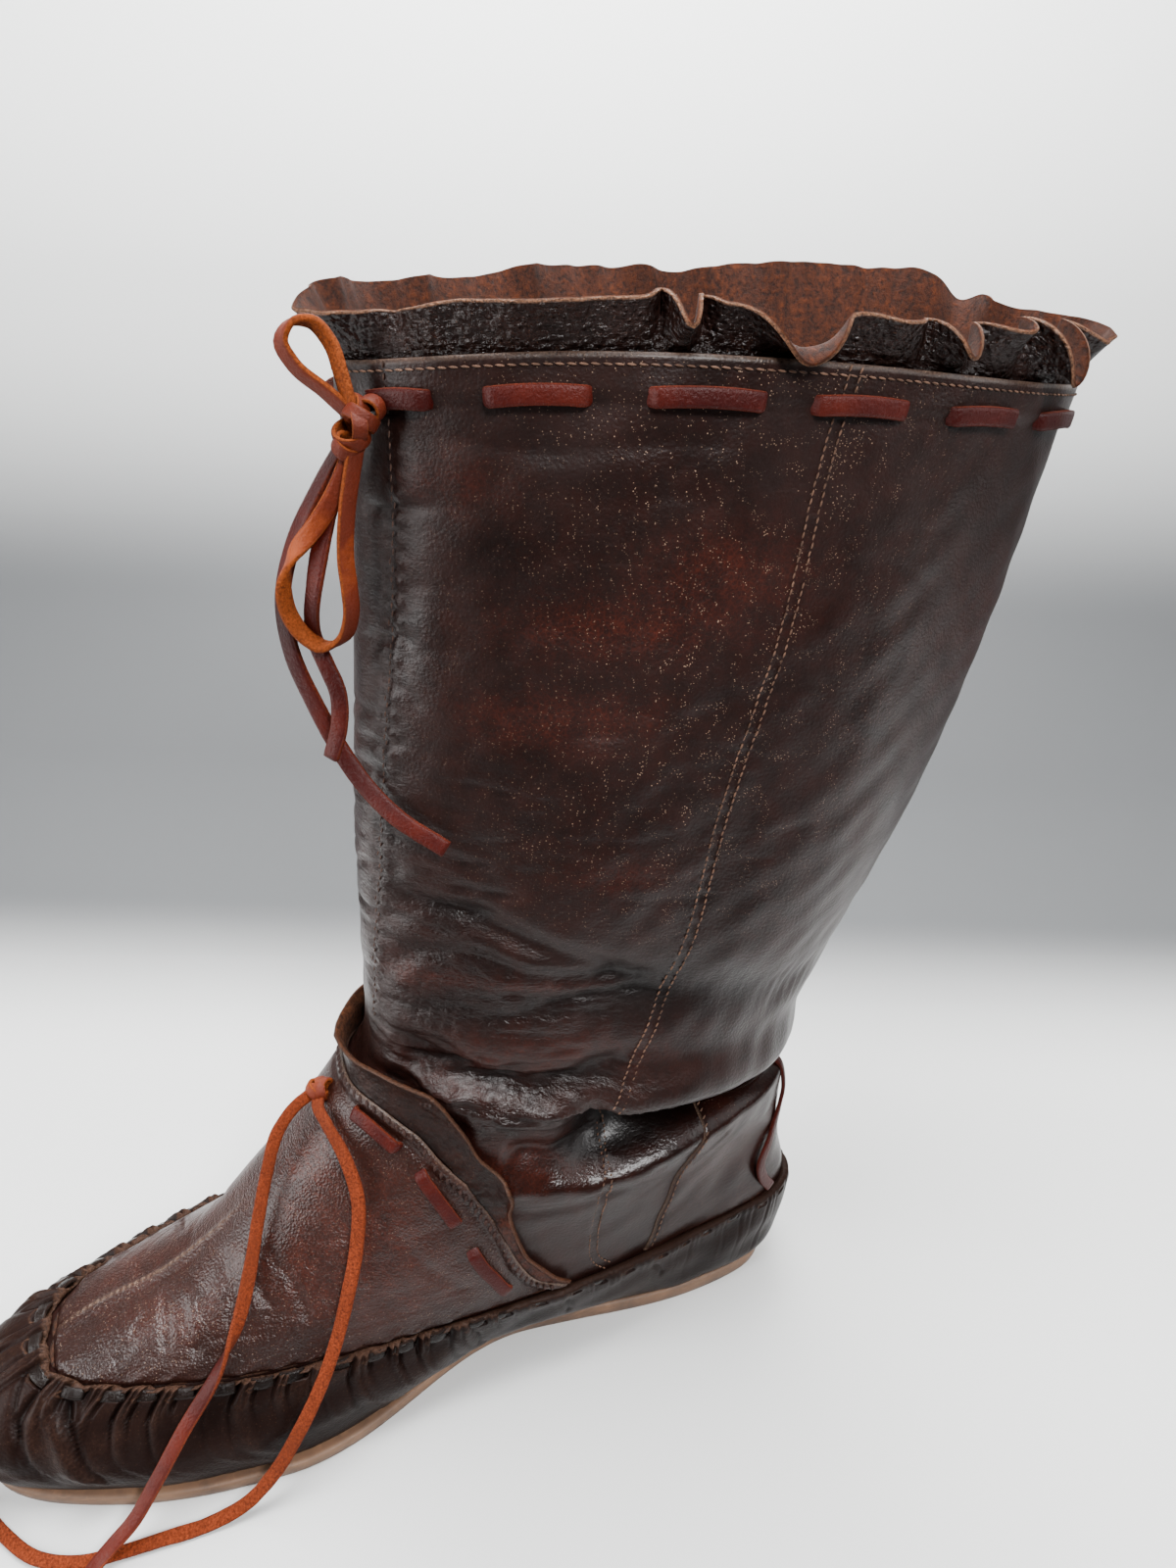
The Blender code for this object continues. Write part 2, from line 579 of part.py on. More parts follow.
def make_knot(name, centre, radii, finish):
    """Pulled-tight knot as a rounded lump."""
    net = bmesh.new()
    bmesh.ops.create_icosphere(net, subdivisions=2, radius=1)
    mesh = bpy.data.meshes.new(name)
    net.to_mesh(mesh)
    net.free()
    flat = np.empty(len(mesh.vertices) * 3)
    mesh.vertices.foreach_get("co", flat)
    placed = flat.reshape(-1, 3) * np.array(radii) * MM + np.array(centre) * MM - ORIGIN
    mesh.vertices.foreach_set("co", placed.ravel())
    mesh.shade_smooth()
    mesh.materials.append(finish)
    made = bpy.data.objects.new(name, mesh)
    bpy.context.scene.collection.objects.link(made)
    return made


for old in list(bpy.data.objects):
    bpy.data.objects.remove(old, do_unlink=True)

leather = material("dark_leather", (0.045, 0.020, 0.016), 0.38)
ruffle = material("ruffle_leather", (0.028, 0.020, 0.018), 0.45)
thong = material("thong_leather", (0.22, 0.055, 0.025), 0.55)
rubber = material("tan_rubber", (0.20, 0.11, 0.06), 0.60)
lining = material("insole_leather", (0.16, 0.09, 0.06), 0.80)

make_outsole(rubber)
make_insole(lining)
make_upper(leather)
make_moccasin_wall(leather)
make_vamp(leather)
make_heel_counter(leather)
make_throat_cuff(ruffle)
make_collar_ruffle(ruffle)
make_shaft_thong(thong)
make_throat_thong(thong)
for knot, (middle, sizes) in KNOTS.items():
    make_knot(knot, middle, sizes, thong)
for route, places in ROUTES.items():
    make_cord(route, places, thong)
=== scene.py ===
"""Moccasin boot for the right foot: soft dark leather, thong laced, with a ruffled collar.

Metres, in the part's own frame: +Y to the toe, +X to the wearer's right, +Z up from the floor.
"""
import bpy
import numpy as np
from mathutils import Matrix


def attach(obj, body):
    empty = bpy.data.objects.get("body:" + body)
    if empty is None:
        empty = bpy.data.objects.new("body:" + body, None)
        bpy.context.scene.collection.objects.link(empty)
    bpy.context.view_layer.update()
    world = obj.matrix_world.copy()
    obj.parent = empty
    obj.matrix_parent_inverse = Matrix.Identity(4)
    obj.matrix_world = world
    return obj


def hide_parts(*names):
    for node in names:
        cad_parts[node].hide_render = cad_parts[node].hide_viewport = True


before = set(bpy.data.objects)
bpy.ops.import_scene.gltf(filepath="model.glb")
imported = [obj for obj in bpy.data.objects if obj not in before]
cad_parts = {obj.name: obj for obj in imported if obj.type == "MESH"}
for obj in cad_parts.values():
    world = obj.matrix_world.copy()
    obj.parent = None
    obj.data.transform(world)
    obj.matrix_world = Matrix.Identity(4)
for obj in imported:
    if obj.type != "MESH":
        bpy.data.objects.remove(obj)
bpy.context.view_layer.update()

# Upper: one soft leather wall from the feather line of the foot to the hem of the shaft, drawn
# over the last and closed by seams at the front and sides. Its shaft has slumped into a deep fold
# round the ankle, and wear has creased it and rubbed its dark finish red.
MM = 0.001
ORIGIN = np.array((-1.066, -32.002, 0.0)) * MM
GAP = 0.3 * MM
LEATHER = 1.6 * MM
SECTION_COLUMNS = ("name", "front_x", "front_y", "front_z", "back_y", "back_z", "heel",
                   "waist_in", "waist_out", "ball_in", "ball_out", "lift_in", "lift_out",
                   "round_heel", "round_toe")
SECTIONS = (
    ("feather", -16.0, 121.0, 8, -123.0, 5, 26.0, 21.0, 28.5, 44.5, 42.5, 0, 0, 0.42, 0.60),
    ("turn", -17.0, 126.0, 13, -127.0, 9, 29.0, 26.5, 32.5, 46.0, 44.0, -1, -1, 0.42, 0.60),
    ("bulge", -17.0, 128.0, 21, -129.5, 18, 30.5, 32.0, 35.5, 46.5, 44.5, -2, -2, 0.44, 0.60),
    ("wall", -16.5, 120.5, 31, -130.5, 28, 31.5, 35.0, 37.0, 42.5, 40.5, -3, -2, 0.46, 0.58),
    ("seam", -15.5, 105.0, 37, -130.0, 37, 31.5, 36.5, 37.5, 38.5, 36.0, -3, -2, 0.48, 0.56),
    ("plug", -13.5, 88.5, 42, -129.0, 44, 32.0, 36.5, 37.5, 37.0, 34.5, -2, -1, 0.50, 0.55),
    ("vamp", -10.5, 65.5, 50, -126.5, 55, 32.5, 36.5, 37.0, 35.5, 34.0, 0, 0, 0.55, 0.57),
    ("instep", -5.0, 41.5, 71, -124.0, 70, 33.5, 37.0, 37.0, 34.5, 33.5, 0, 0, 0.66, 0.66),
    ("throat", -1.0, 19.5, 95.5, -122.5, 83, 34.5, 37.5, 37.0, 34.5, 34.0, 0, 0, 0.78, 0.76),
    ("neck", 0.0, 11.0, 108, -120.5, 92, 33.0, 35.5, 35.5, 35.0, 34.5, 0, 0, 0.82, 0.80),
    ("fold", 0.0, 7.0, 117, -124.5, 102, 38.0, 40.5, 40.0, 37.0, 37.0, 0, 0, 0.86, 0.84),
    ("shaft_low", 0.0, 6.4, 140, -137.0, 131, 40.0, 41.5, 41.0, 39.0, 39.0, 0, 0, 0.92, 0.88),
    ("shaft_mid", 0.0, 4.0, 185, -157.5, 175, 42.0, 43.0, 42.5, 42.0, 42.0, 0, 0, 0.95, 0.92),
    ("shaft_high", 0.0, 1.5, 245, -176.0, 238, 43.5, 44.0, 43.5, 43.5, 43.5, 3, 1, 0.95, 0.95),
    ("hem", 0.0, 3.5, 299, -187.0, 294, 44.5, 45.0, 44.5, 44.5, 44.5, 6, 3, 0.95, 0.95),
)
LEVELS = len(SECTIONS) - 1
# Rows of share of the length from the heel, underside and thickness.
SOLE = ((0.00, 1.6, 4.6), (0.04, 0.0, 5.6), (0.30, 0.0, 5.2), (0.45, 1.6, 4.4),
        (0.60, 0.0, 4.2), (0.82, 0.0, 4.0), (0.92, 1.6, 3.8), (1.00, 5.0, 3.6))
FINE_LEVELS = 8
FINE_TURNS = 720
# Usual length round the boot in mm, for lengths along it.
GIRTH = 450
CREASE_POINTS = 40
CREASE_FADE = 0.22


def smooth(value):
    """Ease from 0 to 1, flat at both ends."""
    value = np.clip(value, 0, 1)
    return value * value * (3 - 2 * value)


def through(knots, values, places):
    """Cubic curve through the rows of a table that never overshoots them."""
    run = np.diff(knots)[:, None]
    slope = np.diff(values, axis=0) / run
    product = slope[:-1] * slope[1:]
    total = np.where(product > 0, slope[:-1] + slope[1:], 1)
    inner = np.where(product > 0, 2 * product / total, 0)
    bend = np.vstack([slope[:1], inner, slope[-1:]])
    row = np.clip(np.searchsorted(knots, places, side="right") - 1, 0, len(knots) - 2)
    t = ((places - knots[row]) / run[row, 0])[:, None]
    rise = t * t * (3 - 2 * t)
    leave = t * (1 - t) ** 2 * run[row] * bend[row]
    arrive = t * t * (t - 1) * run[row] * bend[row + 1]
    return values[row] * (1 - rise) + values[row + 1] * rise + leave + arrive


def table_at(table, places):
    """The columns of a short table, read at places along its first column."""
    values = np.array(table, float)
    places = np.asarray(places, float)
    inside = np.clip(places.ravel(), values[0, 0], values[-1, 0])
    read = through(values[:, 0], values[:, 1:], inside)
    return [column.reshape(places.shape) for column in read.T]


def sole_heights(share):
    """Underside and top of the sole at a share of its length."""
    underside, thickness = table_at(SOLE, share)
    return underside * MM, (underside + thickness) * MM


def section_half(size, rows, side):
    """One half of every section, heel to toe: a blunt oval that swings in towards the toe."""
    inner = side < 0
    waist = size["waist_in" if inner else "waist_out"]
    ball = size["ball_in" if inner else "ball_out"]
    lift = size["lift_in" if inner else "lift_out"]
    toe_taper = 0.14 if inner else 0.22
    turn = np.pi * (1 - np.cos(np.pi * np.linspace(0, 1, 400))) / 2
    share = (1 - np.cos(turn)) / 2
    width = size["heel"] + (waist - size["heel"]) * smooth((share - 0.12) / 0.24)
    width = width + (ball - waist) * smooth((share - 0.36) / 0.32)
    foot = np.clip((0.8 - size["round_toe"]) / 0.2, 0, 1)
    width = width * (1 - toe_taper * foot * smooth((share - 0.74) / 0.26))
    power = size["round_heel"] + (size["round_toe"] - size["round_heel"]) * smooth((share - 0.3) / 0.4)
    wave = np.clip(np.sin(turn), 0, 1)
    x = size["front_x"] * share ** 3 + side * width * wave ** power
    y = size["back_y"] + (size["front_y"] - size["back_y"]) * share
    z = size["back_z"] + (size["front_z"] - size["back_z"]) * share
    z = z + lift * wave ** 2 * (0.4 + 1.2 * share)
    points = np.stack([x, y, z], -1) * MM
    seat = 1 - smooth(rows)[:, None]
    top = sole_heights(share)[1][None, :] + GAP
    points[..., 2] += seat * (top - points[..., 2])
    return points


def even_steps(points):
    """The same curves, one a row, read at even steps along their length."""
    step = np.linalg.norm(np.diff(points, axis=1), axis=2)
    run = np.cumsum(np.pad(step, ((0, 0), (1, 0))), axis=1)
    run = run / run[:, -1:]
    even = np.linspace(0, 1, FINE_TURNS // 2 + 1)
    rows = [[np.interp(even, way, line[:, axis]) for axis in range(3)] for way, line in zip(run, points)]
    return np.moveaxis(np.array(rows), 1, 2)


def last_form():
    """All sections as one fine net: heel by the inner side to the toe and back by the outer side."""
    rows = np.linspace(0, LEVELS, LEVELS * FINE_LEVELS + 1)
    numbers = np.array([row[1:] for row in SECTIONS], float)
    read = through(np.arange(LEVELS + 1.0), numbers, rows)
    size = {name: column[:, None] for name, column in zip(SECTION_COLUMNS[1:], read.T)}
    inner = even_steps(section_half(size, rows, -1))
    outer = even_steps(section_half(size, rows, 1))
    return np.concatenate([inner, outer[:, -2::-1]], axis=1) - ORIGIN


FORM = last_form()
CLIMB = np.cumsum(np.pad(np.linalg.norm(np.diff(FORM, axis=0), axis=2), ((1, 0), (0, 0))), axis=0)


def read_net(net, around, level):
    """Value of a fine net at a share of the way round and a section level, between its knots."""
    around, level = np.broadcast_arrays(np.asarray(around, float), np.asarray(level, float))
    turn = (around % 1) * FINE_TURNS
    rise = np.clip(level, 0, LEVELS) * FINE_LEVELS
    i = np.clip(np.floor(turn).astype(int), 0, FINE_TURNS - 1)
    j = np.clip(np.floor(rise).astype(int), 0, LEVELS * FINE_LEVELS - 1)
    a, b = turn - i, rise - j
    if net.ndim == 3:
        a, b = a[..., None], b[..., None]
    low = net[j, i] * (1 - a) + net[j, i + 1] * a
    high = net[j + 1, i] * (1 - a) + net[j + 1, i + 1] * a
    return low * (1 - b) + high * b


def form(around, level):
    """Point of the last at a share of the way round and a section level."""
    return read_net(FORM, around, level)


def climb(around, level):
    """Length up the last's surface from the feather line to a level, in millimetres."""
    return read_net(CLIMB, around, level) / MM


def unit(vectors):
    """The same vectors, one long."""
    return vectors / np.maximum(np.linalg.norm(vectors, axis=-1, keepdims=True), 1e-12)


def upward(around, level):
    """Unit direction up the last's surface."""
    step = 1 / FINE_LEVELS
    above = form(around, np.clip(level + step, 0, LEVELS))
    return unit(above - form(around, np.clip(level - step, 0, LEVELS)))


def outward(around, level):
    """Unit normal of the last, away from the foot."""
    side = 2 / FINE_TURNS
    across = form(around + side, level) - form(around - side, level)
    return unit(np.cross(upward(around, level), across))


def near_side(around):
    """Share of the way round from the heel to the front, the same on both sides."""
    around = np.asarray(around) % 1
    return np.minimum(around, 1 - around)


def run_along(line):
    """Length along a line of points, 0 at the first."""
    return np.concatenate([[0], np.cumsum(np.linalg.norm(np.diff(line, axis=0), axis=1))])


def resample(points, count):
    """Even points along a smooth curve through given points, rows of any width led by x, y, z."""
    knots = np.asarray(points, float)
    run = run_along(knots[:, :3])
    slope = np.gradient(knots, run, axis=0)
    places = np.linspace(0, run[-1], count)
    row = np.clip(np.searchsorted(run, places, side="right") - 1, 0, len(run) - 2)
    span = (run[row + 1] - run[row])[:, None]
    t = (places - run[row])[:, None] / span
    rise = t * t * (3 - 2 * t)
    bend = t * (1 - t) * ((1 - t) * slope[row] - t * slope[row + 1]) * span
    return knots[row] * (1 - rise) + knots[row + 1] * rise + bend


def even_places(places, count):
    """Around and level of even points along a smooth line given as (around, level) pairs."""
    rows = np.array(places, float)
    flat = np.column_stack([rows[:, 0] * GIRTH, climb(rows[:, 0], rows[:, 1]), 0 * rows[:, 0], rows])
    return resample(flat, count)[:, 3:].T


def crease(points, places, width, height):
    """Soft trough or ridge along a line on the last: a bell across it that fades out at its ends."""
    line = form(*even_places(places, CREASE_POINTS))
    low, high = line.min(0) - 3 * width * MM, line.max(0) + 3 * width * MM
    close = np.all((points > low) & (points < high), axis=-1)
    away = points[close][:, None, :] - line[None, :, :]
    square = (away ** 2).sum(-1)
    nearest = square.argmin(1)
    share = nearest / (len(line) - 1)
    fade = smooth(np.minimum(share, 1 - share) / CREASE_FADE)
    relief = np.zeros(points.shape[:-1])
    relief[close] = height * fade * np.exp(-square[np.arange(len(square)), nearest] / (width * MM) ** 2)
    return relief


def waves(u, v, seed, count, finest, stretch=1.0):
    """Gentle unevenness: a seeded sum of sine waves of many directions, about 1 high, lengths in mm."""
    rng = np.random.default_rng(seed)
    total = np.zeros(np.broadcast(u, v).shape)
    for _ in range(count):
        length = finest * rng.uniform(1, 3.5)
        angle = rng.uniform(0, np.pi)
        phase = rng.uniform(0, 2 * np.pi)
        way = np.cos(angle) * u / stretch + np.sin(angle) * v
        total = total + np.sin(2 * np.pi * way / length + phase)
    return total / np.sqrt(count / 2)


def net_faces(rows, columns, round_rows, round_columns):
    """Corners of the faces of a net of points; they face out where rows climb the last."""
    r = np.arange(rows if round_rows else rows - 1)[:, None]
    c = np.arange(columns if round_columns else columns - 1)[None, :]
    s, d = (r + 1) % rows, (c + 1) % columns
    corners = (r * columns + c, s * columns + c, s * columns + d, r * columns + d)
    return np.stack(np.broadcast_arrays(*corners), -1).reshape(-1, 4)


def add_piece(name, points, faces, finish, marks=None, corner_uv=None):
    """Object of quads at the origin, riding on the boot, with its marks stored at its points."""
    mesh = bpy.data.meshes.new(name)
    mesh.from_pydata(points.reshape(-1, 3), [], faces.tolist())
    mesh.shade_smooth()
    mesh.materials.append(finish)
    for mark, values in (marks or {}).items():
        store = mesh.attributes.new(mark, "FLOAT", "POINT")
        store.data.foreach_set("value", np.asarray(values, np.float32).ravel())
    if corner_uv is not None:
        mesh.uv_layers.new(name="UVMap").data.foreach_set("uv", corner_uv.astype(np.float32).ravel())
    made = bpy.data.objects.new(name, mesh)
    bpy.context.scene.collection.objects.link(made)
    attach(made, "root")
    return made


def add_wall(name, outer, inner, ring, finish, marks=None, inner_marks=None):
    """Closed leather wall between an outer and an inner net of the same columns.

    Rows run up the outer face and down the inner one, so the net closes on itself. A wall that
    isn't a ring has as many rows inside as outside, and its two ends are closed row by row.
    UVs are metres along the two ways of the net.
    """
    points = np.concatenate([outer, inner[::-1]])
    rows, columns = points.shape[:2]
    faces = net_faces(rows, columns, True, ring)
    middle = columns // 2
    loop = np.concatenate([points[:, middle], points[:1, middle]])
    v = run_along(loop)
    belt = outer[len(outer) // 2]
    belt = np.concatenate([belt, belt[:1]]) if ring else belt
    u = run_along(belt)
    r = np.arange(rows)[:, None]
    c = np.arange(columns if ring else columns - 1)[None, :]
    uv = np.stack([np.stack(np.broadcast_arrays(u[c + j], v[r + i]), -1)
                   for i, j in ((0, 0), (1, 0), (1, 1), (0, 1))], 2).reshape(-1, 2)
    if not ring:
        k = np.arange(len(outer) - 1)
        opposite = rows - 1 - k
        left = np.stack([k, opposite, opposite - 1, k + 1], -1) * columns
        right = np.stack([k, k + 1, opposite - 1, opposite], -1) * columns + columns - 1
        faces = np.concatenate([faces, left, right])
        uv = np.concatenate([uv, np.zeros((8 * len(k), 2))])
    filled = {"inside": np.concatenate([np.zeros(outer.shape[:2]), np.ones(inner.shape[:2])])}
    for mark, values in (marks or {}).items():
        back = (inner_marks or {}).get(mark, np.zeros(inner.shape[:2]))
        filled[mark] = np.concatenate([values, back[::-1]])
    return add_piece(name, points, faces, finish, filled, uv)


def put(tree, kind, inputs=None, **settings):
    """Shader node with its settings, fixed values and incoming links."""
    made = tree.nodes.new("ShaderNode" + kind)
    for name, value in settings.items():
        setattr(made, name, value)
    for socket, value in (inputs or {}).items():
        if isinstance(value, bpy.types.NodeSocket):
            tree.links.new(value, made.inputs[socket])
        else:
            made.inputs[socket].default_value = value
    return made


def blend_colours(tree, share, first, second, way="MIX"):
    """Colour socket that goes from a first to a second colour by a share."""
    made = put(tree, "Mix", {0: share}, data_type="RGBA", blend_type=way)
    for socket, colour in ((6, first), (7, second)):
        if isinstance(colour, bpy.types.NodeSocket):
            tree.links.new(colour, made.inputs[socket])
        else:
            made.inputs[socket].default_value = (*colour, 1)
    return made.outputs[2]


def spread(tree, value, low, high, out_low=0.0, out_high=1.0, way="LINEAR"):
    """Value socket that maps a range of another one, held at its ends."""
    made = put(tree, "MapRange", {"Value": value, "From Min": low, "From Max": high,
                                  "To Min": out_low, "To Max": out_high}, interpolation_type=way)
    return made.outputs["Result"]


def sums(tree, way, first, second):
    """Value socket of a sum, product or other arithmetic of two values."""
    return put(tree, "Math", {0: first, 1: second}, operation=way).outputs[0]


def mark(tree, name):
    """Value socket of a mark stored on the piece."""
    return put(tree, "Attribute", attribute_name=name).outputs["Fac"]


def times(share, colour):
    """A colour made darker or lighter by a share."""
    return tuple(share * channel for channel in colour)


def new_finish(name):
    """New material, its node tree and its shader."""
    made = bpy.data.materials.new(name)
    made.use_nodes = True
    return made, made.node_tree, made.node_tree.nodes["Principled BSDF"]


def skin_group():
    """Shared skin of leather, as values over the surface.

    Height is wrinkles along the piece less round pebbles, with pores on top. Cloud and Mottle are
    slow and quick unevenness, Speck is small round spots of many sizes, Nap is the suede's fibre
    and Crackle is the net of lines between plates of worn finish.
    """
    group = bpy.data.node_groups.new("leather_skin", "ShaderNodeTree")
    for name, default in (("Pebble Scale", 900.0), ("Pebble Height", 0.5), ("Wrinkle Height", 0.4)):
        socket = group.interface.new_socket(name, in_out="INPUT", socket_type="NodeSocketFloat")
        socket.default_value = default
    for name in ("Height", "Cloud", "Mottle", "Speck", "Pore", "Nap", "Crackle"):
        group.interface.new_socket(name, in_out="OUTPUT", socket_type="NodeSocketFloat")
    take = group.nodes.new("NodeGroupInput")
    give = group.nodes.new("NodeGroupOutput")
    place = put(group, "TexCoord")
    spot = place.outputs["Object"]
    pebble = put(group, "TexVoronoi", {"Vector": spot, "Scale": take.outputs["Pebble Scale"],
                                       "Randomness": 1.0}, feature="SMOOTH_F1")
    rough_spot = put(group, "TexNoise", {"Vector": spot, "Scale": 2400.0, "Detail": 3.0})
    along = put(group, "Mapping", {"Vector": place.outputs["UV"], "Scale": (150.0, 620.0, 1.0)})
    wrinkle = put(group, "TexNoise", {"Vector": along.outputs[0], "Scale": 1.0, "Detail": 4.0,
                                      "Roughness": 0.6, "Distortion": 0.6})
    fine = put(group, "Mapping", {"Vector": place.outputs["UV"], "Scale": (420.0, 900.0, 1.0)})
    crackle = put(group, "TexNoise", {"Vector": fine.outputs[0], "Scale": 1.0, "Detail": 3.0,
                                      "Distortion": 0.9})
    lines = spread(group, wrinkle.outputs["Fac"], 0.35, 0.62)
    cracks = spread(group, crackle.outputs["Fac"], 0.35, 0.65)
    pebbles = sums(group, "MULTIPLY", pebble.outputs["Distance"], take.outputs["Pebble Height"])
    both = sums(group, "ADD", lines, cracks)
    wrinkles = sums(group, "MULTIPLY", both, take.outputs["Wrinkle Height"])
    pores = sums(group, "MULTIPLY", rough_spot.outputs["Fac"], 0.35)
    height = sums(group, "ADD", sums(group, "SUBTRACT", wrinkles, pebbles), pores)
    cloud = put(group, "TexNoise", {"Vector": spot, "Scale": 26.0, "Detail": 6.0, "Roughness": 0.62})
    blotch = put(group, "TexNoise", {"Vector": spot, "Scale": 150.0, "Detail": 8.0, "Roughness": 0.72})
    dots = put(group, "TexVoronoi", {"Vector": spot, "Scale": 2000.0})
    pick = put(group, "SeparateColor", {0: dots.outputs["Color"]})
    size = spread(group, pick.outputs[0], 0.45, 1.0, 0.0, 0.30)
    speck = spread(group, sums(group, "SUBTRACT", size, dots.outputs["Distance"]), 0.0, 0.05)
    fibre = put(group, "TexNoise", {"Vector": spot, "Scale": 620.0, "Detail": 6.0, "Roughness": 0.78})
    plates = put(group, "TexVoronoi", {"Vector": spot, "Scale": 820.0}, feature="DISTANCE_TO_EDGE")
    results = {
        "Height": height,
        "Cloud": spread(group, cloud.outputs["Fac"], 0.32, 0.68),
        "Mottle": spread(group, blotch.outputs["Fac"], 0.42, 0.66),
        "Speck": speck,
        "Pore": rough_spot.outputs["Fac"],
        "Nap": spread(group, fibre.outputs["Fac"], 0.38, 0.62),
        "Crackle": spread(group, plates.outputs["Distance"], 0.03, 0.16, 1.0, 0.0),
    }
    for name, result in results.items():
        group.links.new(result, give.inputs[name])
    return group


SKIN = skin_group()


def leather(name, dark, red, pale, pebble_scale=1250.0, pebble=0.5, wrinkle=0.06, bump=0.28,
            rough=(0.33, 0.48), suede=(0.040, 0.013, 0.005), coat=0.04, shine_level=0.18):
    """Glossy leather: dark finish, red where the mark rub is high, pale worn edges, suede inside.

    The mark crumple deepens the fine wrinkles, crease paints shade into the troughs, clefts and roots
    as a near-black colour, and polish smooths the finish. Rubbed spots show the net between the plates
    of the finish in a lighter red.
    """
    made, tree, shader = new_finish(name)
    folds = spread(tree, mark(tree, "crumple"), 0.0, 1.0, wrinkle, wrinkle + 1.5)
    skin = put(tree, "Group", {"Pebble Scale": pebble_scale, "Pebble Height": pebble,
                               "Wrinkle Height": folds}, node_tree=SKIN)
    cloud, height, mottle = skin.outputs["Cloud"], skin.outputs["Height"], skin.outputs["Mottle"]
    tone = blend_colours(tree, cloud, times(0.6, dark), times(1.35, dark))
    tone = blend_colours(tree, sums(tree, "MULTIPLY", mottle, 0.16), tone, red)
    rub = sums(tree, "MULTIPLY", mark(tree, "rub"), spread(tree, mottle, 0.0, 0.7, 0.45, 1.0))
    rub = sums(tree, "MULTIPLY", rub, spread(tree, height, -0.15, 0.15, 1.0, 0.4))
    tone = blend_colours(tree, rub, tone, red)
    cracked = sums(tree, "MULTIPLY", sums(tree, "MULTIPLY", rub, skin.outputs["Crackle"]), 0.45)
    tone = blend_colours(tree, cracked, tone, times(2.4, red))
    # Painted shade: where the mark crease is high the colour goes almost black, standing for shade.
    tone = blend_colours(tree, mark(tree, "crease"), tone, times(0.15, dark))
    drift = sums(tree, "MULTIPLY", mark(tree, "speck"), spread(tree, mottle, 0.0, 0.6, 0.25, 1.0))
    speck = sums(tree, "MULTIPLY", skin.outputs["Speck"], drift)
    tone = blend_colours(tree, speck, tone, pale)
    worn = sums(tree, "MULTIPLY", mark(tree, "edge"), spread(tree, skin.outputs["Pore"], 0.3, 0.6))
    tone = blend_colours(tree, worn, tone, pale)
    nap = blend_colours(tree, skin.outputs["Nap"], times(0.12, suede), times(1.5, suede))
    nap = blend_colours(tree, sums(tree, "MULTIPLY", mottle, 0.6), nap, times(0.3, suede))
    flesh = mark(tree, "inside")
    tree.links.new(blend_colours(tree, flesh, tone, nap), shader.inputs["Base Color"])
    shine = spread(tree, cloud, 0.0, 1.0, rough[0], rough[1])
    for worn_by, change in (("crumple", -0.08), ("polish", -0.18), ("edge", 0.3), ("inside", 0.6)):
        shine = sums(tree, "ADD", shine, sums(tree, "MULTIPLY", mark(tree, worn_by), change))
    tree.links.new(shine, shader.inputs["Roughness"])
    shader.inputs["Specular IOR Level"].default_value = shine_level
    tree.links.new(spread(tree, flesh, 0.0, 1.0, coat, 0.0), shader.inputs["Coat Weight"])
    shader.inputs["Coat Roughness"].default_value = 0.22
    smooth_side = sums(tree, "MULTIPLY", height, spread(tree, flesh, 0.0, 1.0, 1.0, 0.0))
    nap_side = sums(tree, "MULTIPLY", skin.outputs["Nap"], spread(tree, flesh, 0.0, 1.0, 0.0, 0.7))
    height = sums(tree, "ADD", smooth_side, nap_side)
    grain = put(tree, "Bump", {"Height": height, "Strength": bump, "Distance": 0.7 * MM})
    tree.links.new(grain.outputs[0], shader.inputs["Normal"])
    return made


CHOCOLATE = (0.0070, 0.0026, 0.0020)
RUBBED_RED = (0.034, 0.0058, 0.0028)
PALE_WEAR = (0.34, 0.23, 0.16)

# Rows of around, level, depth and overhang.
ANKLE_FOLD = (
    (0.000, 9.75, 9.0, 6.5),
    (0.060, 9.75, 10.5, 7.5),
    (0.116, 9.80, 14.0, 8.0),
    (0.169, 9.90, 15.0, 8.0),
    (0.200, 9.85, 14.5, 7.5),
    (0.228, 9.64, 12.5, 6.5),
    (0.250, 9.30, 8.6, 4.6),
    (0.268, 9.00, 3.6, 2.0),
    (0.290, 8.65, 0.8, 0.0),
    (0.330, 8.28, 0.0, 0.0),
)
FOLD_LIP_SHARE, FOLD_LIP_ABOVE, FOLD_LIP_REACH = 0.36, 7.5, 5.0
FOLD_ROUNDING = (-3.0, -1.5, 0.0, 1.5, 3.0)
FOLD_MOUTH = 2.6
OVERHANG_ABOVE, OVERHANG_BELOW_REACH, OVERHANG_REACH = 3.4, 1.9, 7.0
# Rows of around, level and stand-off.
ANKLE_SHELF = (
    (0.000, 8.45, 3.0), (0.104, 8.30, 3.4), (0.142, 8.05, 3.8), (0.181, 7.76, 4.2), (0.212, 7.55, 4.4),
    (0.241, 7.42, 4.2), (0.272, 7.42, 3.6), (0.300, 7.52, 2.6), (0.322, 7.70, 1.2), (0.345, 7.84, 0.2),
)
BANK_POWER = 4.5
SHELF_FOOT = 16.0
